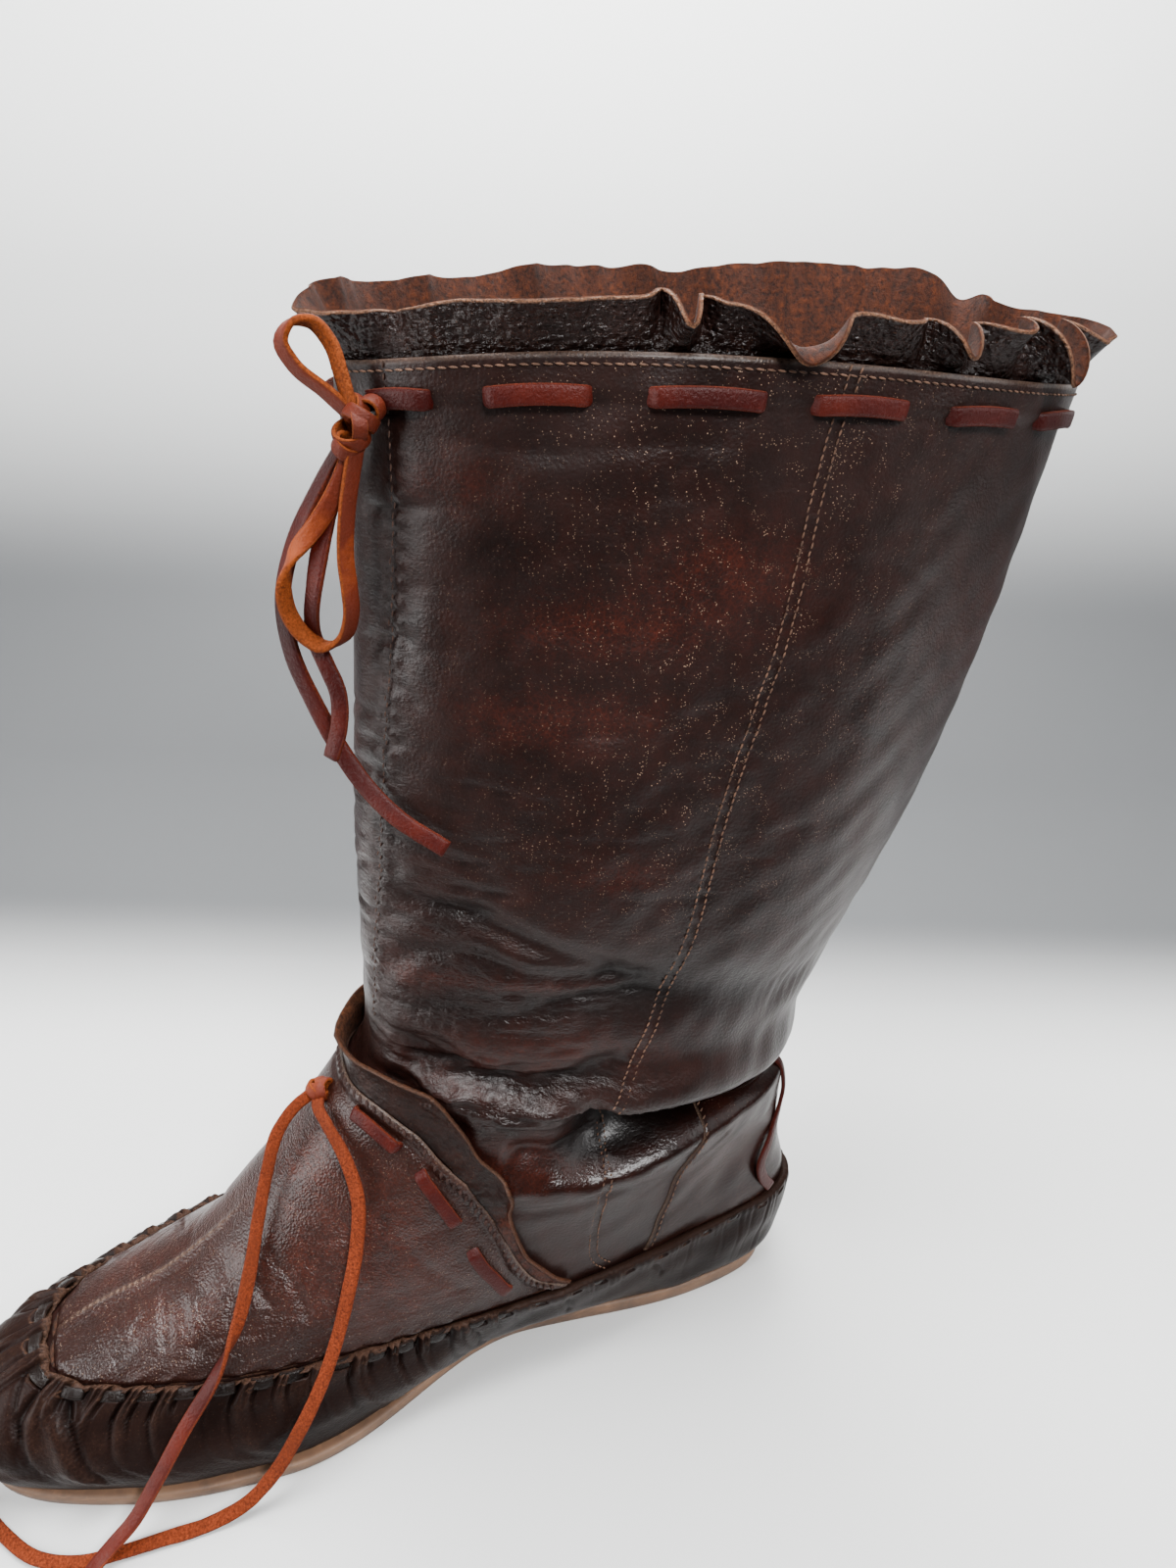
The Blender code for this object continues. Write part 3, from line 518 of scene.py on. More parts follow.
# Rows of half-width, height and the (around, level) places that a crease runs through.
SHAFT_CREASES = (
    (3.6, -2.0, ((0.458, 12.00), (0.445, 11.80), (0.401, 11.73), (0.353, 11.60), (0.310, 11.48),
                 (0.272, 11.35), (0.236, 11.28))),
    (4.5, 0.4, ((0.450, 11.62), (0.400, 11.62), (0.353, 11.50), (0.320, 11.42))),
    (2.6, -1.5, ((0.460, 11.20), (0.426, 11.43), (0.398, 11.47), (0.351, 11.40), (0.308, 11.36),
                 (0.262, 11.30))),
    (8.5, -2.4, ((0.452, 11.02), (0.406, 10.95), (0.365, 11.02), (0.333, 11.12), (0.294, 11.18),
                 (0.235, 11.20), (0.126, 11.00), (0.070, 10.90))),
    (1.6, -1.1, ((0.400, 10.92), (0.352, 11.00), (0.318, 11.16), (0.280, 11.22), (0.238, 11.20))),
    (4.6, -3.2, ((0.450, 10.62), (0.420, 10.40), (0.390, 10.25), (0.355, 10.12), (0.313, 10.14),
                 (0.280, 10.40), (0.255, 10.60), (0.230, 10.75))),
    (0.9, -0.5, ((0.435, 12.36), (0.400, 12.37), (0.370, 12.34), (0.345, 12.33))),
    (0.8, -0.35, ((0.380, 12.20), (0.330, 12.17), (0.290, 12.18), (0.262, 12.22))),
    (1.6, -0.35, ((0.440, 13.73), (0.400, 13.68), (0.373, 13.65), (0.337, 13.68), (0.309, 13.70),
                 (0.270, 13.67))),
    (3.0, 0.25, ((0.430, 13.63), (0.390, 13.59), (0.350, 13.58), (0.310, 13.62))),
    (9.0, -1.0, ((0.420, 13.15), (0.360, 13.00), (0.300, 13.02), (0.250, 13.20))),
    (8.0, -0.9, ((0.400, 12.72), (0.344, 12.68), (0.300, 12.70))),
    (5.5, 4.6, ((0.430, 9.80), (0.395, 9.54), (0.355, 9.33), (0.313, 9.38), (0.285, 9.66), (0.262, 10.00))),
    (8.0, 2.4, ((0.370, 8.66), (0.340, 8.52), (0.310, 8.48), (0.285, 8.50), (0.266, 8.54))),
    (3.2, -2.8, ((0.330, 8.06), (0.305, 8.00), (0.280, 7.96), (0.262, 7.96), (0.240, 8.02))),
    (1.6, -0.9, ((0.432, 9.60), (0.400, 9.45), (0.360, 9.25), (0.330, 8.95))),
    (1.4, -0.8, ((0.452, 10.40), (0.425, 10.28), (0.398, 10.10), (0.370, 10.05), (0.330, 10.10))),
    (1.3, -0.8, ((0.470, 10.62), (0.440, 10.55), (0.415, 10.62), (0.385, 10.50))),
    (2.4, -1.0, ((0.330, 7.30), (0.300, 7.05), (0.270, 6.98), (0.240, 7.00), (0.215, 7.12), (0.190, 7.35))),
    (3.2, -1.9, ((0.540, 12.00), (0.575, 11.75), (0.640, 11.60), (0.700, 11.40), (0.760, 11.30))),
    (7.0, -2.6, ((0.548, 10.92), (0.600, 10.97), (0.665, 11.05), (0.720, 11.18), (0.780, 11.18),
                 (0.874, 11.00), (0.930, 10.90))),
    (2.0, -1.2, ((0.600, 10.92), (0.650, 11.02), (0.700, 11.20), (0.760, 11.22))),
    (3.0, 1.6, ((0.580, 9.80), (0.624, 9.80), (0.674, 9.70), (0.726, 9.62))),
)
# Rows of seed, count and the ranges of around, level, length, half-width and depth.
SMALL_CREASES = (
    (11, 70, (0.28, 0.47), (9.2, 11.5), (0.03, 0.08), (0.7, 1.3), (0.25, 0.6)),
    (12, 60, (0.53, 0.72), (9.2, 11.5), (0.03, 0.08), (0.7, 1.3), (0.25, 0.6)),
    (13, 46, (0.455, 0.55), (10.4, 13.7), (0.03, 0.06), (0.9, 1.6), (0.35, 0.8)),
    (14, 60, (0.17, 0.34), (7.0, 9.0), (0.03, 0.07), (0.6, 1.1), (0.15, 0.4)),
    (16, 80, (0.25, 0.44), (9.0, 10.5), (0.02, 0.05), (0.55, 1.0), (0.30, 0.75)),
    (17, 34, (0.37, 0.47), (10.9, 12.3), (0.05, 0.10), (0.6, 1.1), (0.25, 0.60)),
    (15, 40, (0.18, 0.46), (11.6, 13.6), (0.05, 0.12), (0.7, 1.4), (0.08, 0.2)),
)
FRONT_SEAM = ((0.447, 14.0), (0.449, 13.6), (0.453, 13.0), (0.455, 12.5), (0.457, 11.9),
              (0.461, 11.4), (0.467, 10.56), (0.474, 9.9))
SIDE_SEAM = ((0.232, 14.0), (0.238, 13.6), (0.240, 13.0), (0.248, 12.3), (0.242, 11.3),
             (0.250, 10.35), (0.253, 9.9))
SIDE_SEAM_LOW = ((0.247, 8.62), (0.238, 8.05), (0.226, 7.40), (0.206, 6.20), (0.186, 5.10), (0.168, 4.33))
UPPER_COLUMNS = 352
UPPER_ROWS = 214
HEM_BAND = 8.6
HEM_PROUD = 0.7


def mirrored(places):
    """The same line on the outer side of the boot."""
    return tuple((1 - around, level) for around, level in places)


def scattered_creases(seed, count, around, level, length, width, depth):
    """Seeded short creases that run mostly round the boot, as (width, height, places) rows."""
    rng = np.random.default_rng(seed)
    rows = []
    for _ in range(count):
        a, l = rng.uniform(*around), rng.uniform(*level)
        reach = rng.uniform(*length)
        slant, bow = rng.uniform(-0.12, 0.12), rng.uniform(-0.06, 0.06)
        places = tuple((a + reach * t, l + slant * t + bow * (1 - 4 * t * t))
                       for t in (-0.5, -0.2, 0.1, 0.5))
        rows.append((rng.uniform(*width), -rng.uniform(*depth), places))
    return rows


def upper_relief(around, level):
    """How far the worn upper stands off the last (mm) and how far its shaft has slid down it.

    The shaft's lip hangs over the ankle fold as a bell above it. Under the fold a bank rises as a
    power of the way out to the shelf of the foot, whose edge is rounded by a mean of five shifts.
    Each crease adds its own bell; slow waves keep the shaft from being a clean tube.
    """
    points = form(around, level)
    height = climb(around, level)
    side = near_side(around)
    fold_level, depth, overhang = table_at(ANKLE_FOLD, side)
    above = height - climb(around, fold_level)
    shelf_level, shelf = table_at(ANKLE_SHELF, side)
    reach = np.maximum(climb(around, fold_level) - climb(around, shelf_level), 3.0)
    relief = FOLD_LIP_SHARE * depth * np.exp(-((above - FOLD_LIP_ABOVE) / FOLD_LIP_REACH) ** 2)
    for shift in FOLD_ROUNDING:
        share = -(above + shift) / reach
        bank = -depth + (depth + shelf) * np.clip(share, 0, 1) ** BANK_POWER
        foot = shelf * np.exp(-((share - 1) * reach / SHELF_FOOT) ** 2)
        lower = np.where(share > 1, foot, bank)
        mouth = -depth * np.exp(-((above + shift) / FOLD_MOUTH) ** 2)
        relief += 0.2 * np.where(above + shift > 0, mouth, lower)
    drop = np.where(above < OVERHANG_ABOVE, OVERHANG_BELOW_REACH, OVERHANG_REACH)
    slide = overhang * np.exp(-((above - OVERHANG_ABOVE) / drop) ** 2)
    for width, amount, places in SHAFT_CREASES:
        relief += crease(points, places, width, amount)
    for ranges in SMALL_CREASES:
        for width, amount, places in scattered_creases(*ranges):
            relief += crease(points, places, width, amount)
    for line in (FRONT_SEAM, SIDE_SEAM, mirrored(SIDE_SEAM), SIDE_SEAM_LOW, mirrored(SIDE_SEAM_LOW)):
        welt = line is FRONT_SEAM
        relief += crease(points, line, 1.0, 1.1 if welt else -0.45)
        relief += crease(points, tuple((a + 0.006, l) for a, l in line), 1.4, -0.7 if welt else 0.2)
    shaft = smooth((level - 10) / 1.5)
    relief += 0.7 * shaft * waves(around * GIRTH, height, 5, 12, 38.0)
    relief += 0.12 * waves(around * GIRTH, height, 6, 16, 6.0, 2.0)
    hem = smooth((height - climb(around, LEVELS) + HEM_BAND) / 0.8)
    relief += HEM_PROUD * hem
    return relief, slide


def upper_face(around, level, lift, relief=None):
    """The worn upper's surface: the last, its relief and a lift along the normal, slid down its fold."""
    bump, slide = upper_relief(around, level) if relief is None else relief
    normal = outward(around, level)
    point = form(around, level) + normal * (bump * MM + lift)[..., None]
    return point - upward(around, level) * (slide * MM)[..., None]


def even_levels(low, high, count, around=0.2):
    """Levels whose rows are evenly spaced up the surface of the last."""
    fine = np.linspace(low, high, 600)
    length = climb(np.full(fine.shape, around), fine)
    return np.interp(np.linspace(length[0], length[-1], count), length, fine)


def patches(around, level, spots):
    """Soft-edged rubbed patches, each an ellipse (around, level, reach round, reach up, strength)."""
    total = np.zeros(np.broadcast(around, level).shape)
    for a, l, wide, tall, strength in spots:
        total = total + strength * np.exp(-((around - a) / wide) ** 2 - ((level - l) / tall) ** 2)
    return np.clip(total, 0, 1)


UPPER_RUBS = (
    (0.330, 13.00, 0.055, 0.10, 0.9), (0.275, 13.22, 0.040, 0.16, 0.7), (0.355, 12.66, 0.050, 0.10, 0.7),
    (0.420, 13.55, 0.030, 0.12, 0.4), (0.300, 12.00, 0.040, 0.10, 0.35), (0.440, 11.25, 0.030, 0.12, 0.7),
    (0.340, 11.28, 0.070, 0.05, 0.9), (0.300, 10.60, 0.060, 0.25, 0.7), (0.380, 10.20, 0.050, 0.40, 0.8),
    (0.300, 8.00, 0.050, 0.60, 0.8), (0.250, 9.60, 0.040, 0.30, 0.6), (0.490, 12.60, 0.020, 0.90, 0.35),
    (0.640, 13.00, 0.060, 0.14, 0.8), (0.720, 12.60, 0.060, 0.14, 0.7), (0.600, 10.40, 0.060, 0.40, 0.8),
    (0.700, 8.20, 0.060, 0.60, 0.7), (0.080, 13.00, 0.050, 0.30, 0.3), (0.920, 12.80, 0.050, 0.30, 0.4),
)
UPPER_CRUMPLES = (
    (0.350, 9.70, 0.090, 0.50, 1.0), (0.330, 8.75, 0.035, 0.35, 0.6), (0.430, 11.20, 0.045, 0.60, 0.9),
    (0.500, 12.00, 0.040, 1.20, 0.9), (0.340, 11.10, 0.080, 0.35, 0.6), (0.650, 9.70, 0.090, 0.50, 1.0),
    (0.670, 8.75, 0.035, 0.35, 0.6), (0.570, 11.20, 0.060, 0.60, 0.8), (0.250, 10.00, 0.050, 0.30, 0.7),
)

UNDER_WALL = 3.9
FOLD_LEVELS = (7.7, 10.5)
INNER_EVERY = 8
around = (np.arange(UPPER_COLUMNS) / UPPER_COLUMNS)[None, :]
low_rows = np.array((0.0, 1.0, 2.0, 3.0, 3.7))
outer_level = np.concatenate([low_rows, even_levels(4.0, LEVELS, UPPER_ROWS)])[:, None]
outer_relief = upper_relief(around, outer_level)
# The inner face has every row near the fold and few elsewhere. It keeps to the deepest relief close
# by, and doesn't slide, so it stays clear of the fold.
row_level = outer_level[:, 0]
near_fold = (row_level > FOLD_LEVELS[0]) & (row_level < FOLD_LEVELS[1])
under_wall = row_level < UNDER_WALL
inner_rows = np.flatnonzero(near_fold | under_wall | (np.arange(len(row_level)) % INNER_EVERY == 0))
inner_rows = np.append(inner_rows[:-1], len(row_level) - 1)
row_window = np.clip(inner_rows[:, None] + np.arange(-3, 4), 0, len(row_level) - 1)
inner_level = outer_level[inner_rows]
inner_bump = outer_relief[0][row_window].min(axis=1)
inner_bump = np.min([np.roll(inner_bump, shift, axis=1) for shift in (-4, -2, 0, 2, 4)], axis=0)
inner_relief = inner_bump, 0 * inner_bump
outer_lift = np.where(outer_level < UNDER_WALL, -0.8 * MM, 0) + np.zeros(outer_relief[0].shape)
upper_outer = upper_face(around, outer_level, outer_lift, outer_relief)
upper_inner = upper_face(around, inner_level, np.full(inner_relief[0].shape, -LEATHER), inner_relief)
hem_depth = climb(around, np.full((1, UPPER_COLUMNS), LEVELS)) - climb(around, outer_level)
shelf_away = climb(around, outer_level) - climb(around, table_at(ANKLE_SHELF, near_side(around))[0])
upper_marks = {
    "rub": patches(around, outer_level, UPPER_RUBS),
    # Painted shade: crease darkens the troughs and the ankle fold's cleft under the shaft's lip.
    "crease": np.clip(-0.24 * outer_relief[0] - 0.10, 0, 0.9),
    "speck": 0.75 * smooth((outer_level - 11.2) / 1.2) * (0.55 - 0.45 * np.sin(around * 17)),
    "edge": 0.12 * np.exp(-(hem_depth / 0.6) ** 2),
    "crumple": patches(around, outer_level, UPPER_CRUMPLES),
    "polish": np.exp(-(shelf_away / 7.0) ** 2) * smooth((0.335 - near_side(around)) / 0.03),
}
boot_leather = leather("boot_leather", CHOCOLATE, RUBBED_RED, PALE_WEAR)
upper = add_wall("upper_leather", upper_outer, upper_inner, True, boot_leather, upper_marks)
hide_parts("upper")

# Heel counter: a panel of the same leather laid round the heel under the fold and sewn down its
# two front edges. It is smoother than the shaft, polished by handling.
COUNTER_EDGE = ((0.140, 8.50), (0.147, 8.15), (0.152, 7.40), (0.152, 6.68), (0.148, 5.50), (0.142, 4.30))
COUNTER_LEVELS = (4.15, 8.40)
COUNTER_COLUMNS = 150
FOOT_GIRTH = 560
counter_level = np.linspace(*COUNTER_LEVELS, 64)[:, None]
edge_levels = np.array(COUNTER_EDGE)[::-1]
counter_half = np.interp(counter_level, edge_levels[:, 1], edge_levels[:, 0])
counter_around = counter_half * np.linspace(-1, 1, COUNTER_COLUMNS)[None, :]
counter_level = np.broadcast_to(counter_level, counter_around.shape)
counter_relief = upper_relief(counter_around, counter_level)
counter_edge = (counter_half - np.abs(counter_around)) * FOOT_GIRTH
counter_lift = (0.25 + 0.75 * smooth(counter_edge / 1.6)) * MM
counter_outer = upper_face(counter_around, counter_level, counter_lift, counter_relief)
counter_inner = upper_face(counter_around, counter_level, 0 * counter_lift - 0.3 * MM, counter_relief)
counter_marks = {
    "rub": patches(np.abs(counter_around), counter_level, ((0.10, 7.0, 0.06, 0.8, 0.35),)),
    # Painted shade: crease darkens the counter's troughs and the bank under the ankle fold.
    "crease": np.clip(-0.16 * counter_relief[0] - 0.12, 0, 0.85),
    "edge": 0.15 * np.exp(-(counter_edge / 0.5) ** 2),
    "speck": 0.15 + 0 * counter_lift,
    "crumple": 0.04 + 0 * counter_lift,
}
counter_leather = leather("counter_leather", CHOCOLATE, RUBBED_RED, PALE_WEAR, pebble=0.35,
                          wrinkle=0.10, bump=0.20, rough=(0.20, 0.29), shine_level=0.092)
counter = add_wall("heel_counter_leather", counter_outer, counter_inner, False, counter_leather,
                   counter_marks)
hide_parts("heel_counter")

# Moccasin wall: the leather of the sole turned up round the whole foot and gathered to the vamp by
# a thong whipped over the seam. Each whip pinches it, so it stands in pleats that fade downwards.
SEAM_LEVEL = 4.2
LIP_LEVEL = 4.1
WHIP_PITCH = 10.0
TAB_HALF = 2.9
GROOVE_DEEP = 1.6
GROOVE_HALF = 0.65
PLEAT_HIGH = 1.1
PLEAT_REACH = 19.0
PLEAT_REACH_SPREAD = 8.0
PLEAT_CREASE = 1.2
SLIT_DEEP = 1.9
# Rows of level and stand-off.
WALL_OFFSET = ((0.4, 0.5), (1.0, 0.9), (2.0, 1.5), (3.0, 2.1), (3.5, 2.7), (3.9, 3.2), (4.05, 3.1))
WALL_COLUMNS = 1400
TOE_PLEATS = (
    (2.4, 1.5, ((0.478, 4.10), (0.460, 3.70), (0.440, 3.10), (0.424, 2.40), (0.410, 1.50), (0.404, 0.80))),
    (1.0, -1.4, ((0.462, 4.10), (0.446, 3.60), (0.428, 2.90), (0.412, 2.10), (0.400, 1.20))),
    (1.1, -1.1, ((0.490, 4.10), (0.474, 3.60), (0.456, 3.00), (0.438, 2.20), (0.424, 1.20))),
    (1.0, -0.9, ((0.507, 4.10), (0.503, 3.50), (0.500, 2.60), (0.498, 1.80))),
    (1.0, -0.8, ((0.525, 4.10), (0.527, 3.40), (0.530, 2.40), (0.534, 1.60))),
    (1.2, -1.0, ((0.240, 3.60), (0.225, 2.60), (0.212, 1.60), (0.190, 0.90))),
    (1.0, -0.8, ((0.185, 3.50), (0.174, 2.60), (0.166, 1.90))),
    (1.0, -0.7, ((0.130, 3.40), (0.118, 2.70), (0.112, 2.20))),
    (1.2, -0.8, ((0.860, 3.50), (0.872, 2.60), (0.880, 1.90))),
    (1.2, -0.9, ((0.760, 3.50), (0.775, 2.60), (0.785, 1.60))),
)
seam_turn = np.linspace(0, 1, 2001)
seam_run = run_along(form(seam_turn, SEAM_LEVEL)) / MM
WHIPS = int(round(seam_run[-1] / WHIP_PITCH))
whip_rng = np.random.default_rng(21)
whip_jitter = np.append(whip_rng.uniform(-0.16, 0.16, WHIPS), 0)
whip_jitter[0] = 0
whip_strength = np.append(whip_rng.uniform(0.65, 1.25, WHIPS), 1)
whip_place = np.arange(WHIPS + 1) + whip_jitter


def whip_count(around):
    """Whip stitches from the heel centre to a place, by the length along the seam."""
    run = np.interp(np.asarray(around) % 1, seam_turn, seam_run) / seam_run[-1] * WHIPS
    return np.interp(run, whip_place, np.arange(WHIPS + 1))


def straight_down(around, level):
    """The place at the seam that lies straight above a place on the wall, which flares to the sole."""
    side = near_side(around)
    shift = 0.0165 * (LIP_LEVEL - level) * smooth(side / 0.22) * smooth((0.5 - side) / 0.05)
    return around + np.where(np.asarray(around) % 1 < 0.5, shift, -shift)


def gather(around):
    """How strongly the wall is gathered: most round the toe, least at the heel."""
    return 0.14 + 0.86 * smooth((near_side(around) - 0.19) / 0.12)


def pinch(around):
    """0 at each whip and 1 midway between two, rounded like a scallop."""
    return np.abs(np.sin(np.pi * whip_count(around)))


def slits(around, down):
    """1 in each slit under the seam's lip where the gathering thong shows, 0 outside, down in mm."""
    count = whip_count(around)
    from_whip = (count - np.round(count)) * WHIP_PITCH
    wide = smooth((1.6 + gather(around) - np.abs(from_whip)) / 0.7)
    return wide * smooth((down - 1.0) / 0.5) * smooth((2.6 + 2.6 * gather(around) - down) / 0.7)


def wall_relief(around, level):
    """Relief of the gathered wall in mm: below each slit a flat tab between two grooves, and between
    two tabs a rounded fold with a crease in it, all fading downwards; then the toe's own folds.
    """
    points = form(around, level)
    above = straight_down(around, level)
    count = whip_count(above)
    strength = np.interp(count, np.arange(WHIPS + 1), whip_strength) * gather(around)
    from_whip = (count - np.round(count)) * WHIP_PITCH
    down = climb(around, np.full(np.shape(around), LIP_LEVEL)) - climb(around, level)
    own = np.sin(2.3 * np.round(count))
    reach = PLEAT_REACH + PLEAT_REACH_SPREAD * own
    fade = np.exp(-(down / reach) ** 2)
    lean = 0.10 * own * down
    relief = PLEAT_HIGH * strength * fade * smooth((np.abs(from_whip) - 2.4) / 1.6)
    for edge in (-TAB_HALF, TAB_HALF):
        relief += -GROOVE_DEEP * strength * fade * np.exp(-((from_whip - edge - lean) / GROOVE_HALF) ** 2)
    relief += -PLEAT_CREASE * strength * np.exp(-(down / 10) ** 2) * smooth((np.abs(from_whip) - 4.1) / 0.8)
    relief += -SLIT_DEEP * (0.45 + 0.55 * gather(around)) * slits(above, down)
    for width, amount, places in TOE_PLEATS:
        relief += crease(points, places, width, amount)
    relief += 0.3 * waves(around * FOOT_GIRTH, climb(around, level), 31, 14, 16.0)
    return relief


wall_around = (np.arange(WALL_COLUMNS) / WALL_COLUMNS)[None, :]
wall_drop = np.concatenate([np.linspace(40.5, 13.0, 20), np.linspace(12.0, 0.5, 27)])
fine_level = np.linspace(0.4, 4.08, 400)
fine_drop = climb(0.40, LIP_LEVEL) - climb(np.full(400, 0.40), fine_level)
wall_level = np.interp(-wall_drop, -fine_drop, fine_level)[:, None]
lip = 0.10 * gather(wall_around) * (pinch(wall_around) - 0.5) * smooth((wall_level - 2.5) / 1.5)
lip = lip + 0.05 * np.sin(2 * np.pi * 7.3 * wall_around) * smooth((wall_level - 3) / 1)
wall_rows = wall_level + lip
wall_bump = wall_relief(wall_around, wall_rows)
wall_lift = table_at(WALL_OFFSET, np.broadcast_to(wall_level, wall_rows.shape))[0] + wall_bump
wall_lift = np.maximum(wall_lift, 0.5) * MM
wall_outer = form(wall_around, wall_rows) + outward(wall_around, wall_rows) * wall_lift[..., None]
curl = np.linspace(0, 1, 6)[1:, None]
lip_rows = wall_rows[-1:] + 0.09 * np.sin(np.pi * curl)
lip_lift = wall_lift[-1:] * (1 - curl) + 0.3 * MM * curl
wall_roll = form(wall_around, lip_rows) + outward(wall_around, lip_rows) * lip_lift[..., None]
wall_outer = np.concatenate([wall_outer, wall_roll])
wall_back = np.array((0.4, 1.2, 2.2, 3.2, 3.8))[:, None]
wall_inner = form(wall_around, wall_back) - outward(wall_around, wall_back) * 0.5 * MM
all_bump = np.concatenate([wall_bump, np.repeat(wall_bump[-1:], len(curl), axis=0)])
rolled_level = np.full((len(curl), WALL_COLUMNS), LIP_LEVEL)
all_level = np.concatenate([np.broadcast_to(wall_level, wall_bump.shape), rolled_level])
all_down = climb(wall_around, np.full((1, WALL_COLUMNS), LIP_LEVEL)) - climb(wall_around, all_level)
wall_slit = slits(wall_around, all_down)
wall_marks = {
    "rub": 0.5 * gather(wall_around) * smooth(all_bump + 0.1),
    # Painted shade: crease darkens the grooves, slits and creases of the gathers and the toe's folds.
    "crease": np.clip(-0.6 * all_bump - 0.15, 0, 0.9),
    "edge": ((0.06 + 0.26 * gather(wall_around)) * np.exp(-(all_down / 0.8) ** 2)
             + 2.0 * wall_slit * (1 - wall_slit)),
    "speck": 0.25 + 0 * all_bump,
}
WALL_BROWN = (0.0060, 0.0029, 0.0024)
WALL_RUBBED = (0.017, 0.0086, 0.0062)
WALL_WORN = (0.095, 0.048, 0.030)
wall_leather = leather("wall_leather", WALL_BROWN, WALL_RUBBED, WALL_WORN, pebble=0.6, wrinkle=0.06,
                       bump=0.22, rough=(0.28, 0.42), coat=0.0, shine_level=0.036)
wall = add_wall("moccasin_wall_leather", wall_outer, wall_inner, True, wall_leather,
                wall_marks)
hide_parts("moccasin_wall")

# Vamp: the plug over toe and instep, a softer red-brown leather sewn into the gathered seam. A
# ridge runs back from the toe, creases fan out from it, and small knots bind the throat's edge.
VAMP_LIFT = 1.9 * MM
VAMP_COLUMNS = 390
THROAT_ENDS = (0.197, 0.803)
# Rows of around, level of the edge and level of the thong.
THROAT = ((0.195, 4.40, 4.30), (0.229, 5.25, 4.80), (0.272, 6.37, 5.85), (0.300, 6.95, 6.45),
          (0.334, 7.46, 7.08), (0.372, 7.88, 7.58), (0.405, 8.38, 7.96), (0.449, 8.71, 8.30),
          (0.500, 8.75, 8.35))
VAMP_CREASES = (
    (1.1, 0.7, ((0.497, 3.98), (0.501, 4.45), (0.503, 5.15), (0.501, 5.78), (0.501, 6.10), (0.496, 6.53),
                (0.490, 6.95))),
    (1.1, -0.5, ((0.492, 4.30), (0.495, 5.15), (0.493, 5.90), (0.489, 6.50))),
    (1.6, -0.7, ((0.470, 6.05), (0.457, 5.75), (0.436, 5.40), (0.415, 4.90))),
    (1.8, -0.7, ((0.494, 5.90), (0.472, 5.73), (0.452, 5.40), (0.436, 5.00))),
    (2.0, 0.7, ((0.482, 6.15), (0.462, 5.90), (0.444, 5.60), (0.425, 5.15))),
    (1.6, -0.7, ((0.480, 6.60), (0.466, 6.40), (0.443, 6.12), (0.425, 5.55))),
    (2.2, 0.7, ((0.470, 6.75), (0.445, 6.35), (0.425, 6.00), (0.405, 5.60))),
    (1.5, -0.7, ((0.455, 6.85), (0.444, 6.65), (0.422, 6.43), (0.390, 5.90), (0.370, 5.40))),
    (1.3, -0.5, ((0.445, 6.40), (0.425, 6.15), (0.405, 5.90))),
    (1.4, -0.6, ((0.480, 5.60), (0.472, 5.40), (0.462, 5.10), (0.456, 4.60))),
    (3.0, -0.7, ((0.440, 7.30), (0.400, 6.90), (0.365, 6.30), (0.330, 5.60), (0.300, 5.00))),
    (2.4, -0.6, ((0.420, 7.45), (0.380, 7.05), (0.340, 6.50), (0.300, 5.90), (0.260, 5.10))),
    (1.5, -0.6, ((0.520, 6.00), (0.540, 5.70), (0.560, 5.30), (0.575, 4.90))),
    (1.6, -0.6, ((0.515, 6.60), (0.545, 6.20), (0.575, 5.70), (0.600, 5.20))),
    (1.8, -0.6, ((0.535, 7.00), (0.570, 6.50), (0.610, 5.90), (0.640, 5.30))),
    (2.4, -0.6, ((0.580, 7.40), (0.630, 6.80), (0.680, 6.00), (0.720, 5.30))),
)
VAMP_RUBS = ((0.40, 7.0, 0.05, 0.7, 0.9), (0.36, 6.2, 0.05, 0.7, 0.6), (0.46, 5.6, 0.03, 0.5, 0.35),
             (0.47, 7.6, 0.03, 0.5, 0.9), (0.31, 5.6, 0.04, 0.6, 0.45), (0.56, 6.8, 0.05, 0.9, 0.7),
             (0.64, 6.2, 0.06, 0.9, 0.6), (0.54, 5.2, 0.04, 0.5, 0.4))


def throat_edge(around):
    """Level of the vamp's edge at the throat, the same on both sides."""
    return table_at(THROAT, near_side(around))[0]


vamp_around = np.linspace(*THROAT_ENDS, VAMP_COLUMNS)[None, :]
vamp_share = np.linspace(0, 1, 120)[:, None]
vamp_edge = throat_edge(vamp_around)
vamp_low = 4.14 + 0.05 * gather(vamp_around) * (1 - pinch(vamp_around))
vamp_level = vamp_low + (vamp_edge - vamp_low) * vamp_share
vamp_around = np.broadcast_to(vamp_around, vamp_level.shape)
vamp_points = form(vamp_around, vamp_level)
vamp_climb = climb(vamp_around, vamp_level)
from_seam = vamp_climb - climb(vamp_around, np.broadcast_to(vamp_low, vamp_level.shape))
to_throat = climb(vamp_around, np.broadcast_to(vamp_edge, vamp_level.shape)) - vamp_climb
vamp_bump = 1.5 * np.exp(-(from_seam / 6.0) ** 2) * gather(vamp_around) * (0.35 - pinch(vamp_around)) * 0.6
vamp_bump += -1.4 * np.exp(-(from_seam / 1.6) ** 2) + 0.9 * np.exp(-((to_throat - 1.5) / 1.6) ** 2)
vamp_bump += -0.6 * np.exp(-((to_throat - 4.4) / 1.4) ** 2)
vamp_small = scattered_creases(41, 80, (0.28, 0.49), (4.8, 7.8), (0.02, 0.06), (0.6, 1.1), (0.05, 0.16))
vamp_small += scattered_creases(42, 70, (0.51, 0.72), (4.8, 7.8), (0.02, 0.06), (0.6, 1.1), (0.05, 0.16))
for crease_width, crease_height, crease_places in (*VAMP_CREASES, *vamp_small):
    vamp_bump += crease(vamp_points, crease_places, crease_width, crease_height)
vamp_bump += 0.22 * waves(vamp_around * GIRTH, vamp_climb, 43, 12, 24.0)
vamp_normal = outward(vamp_around, vamp_level)
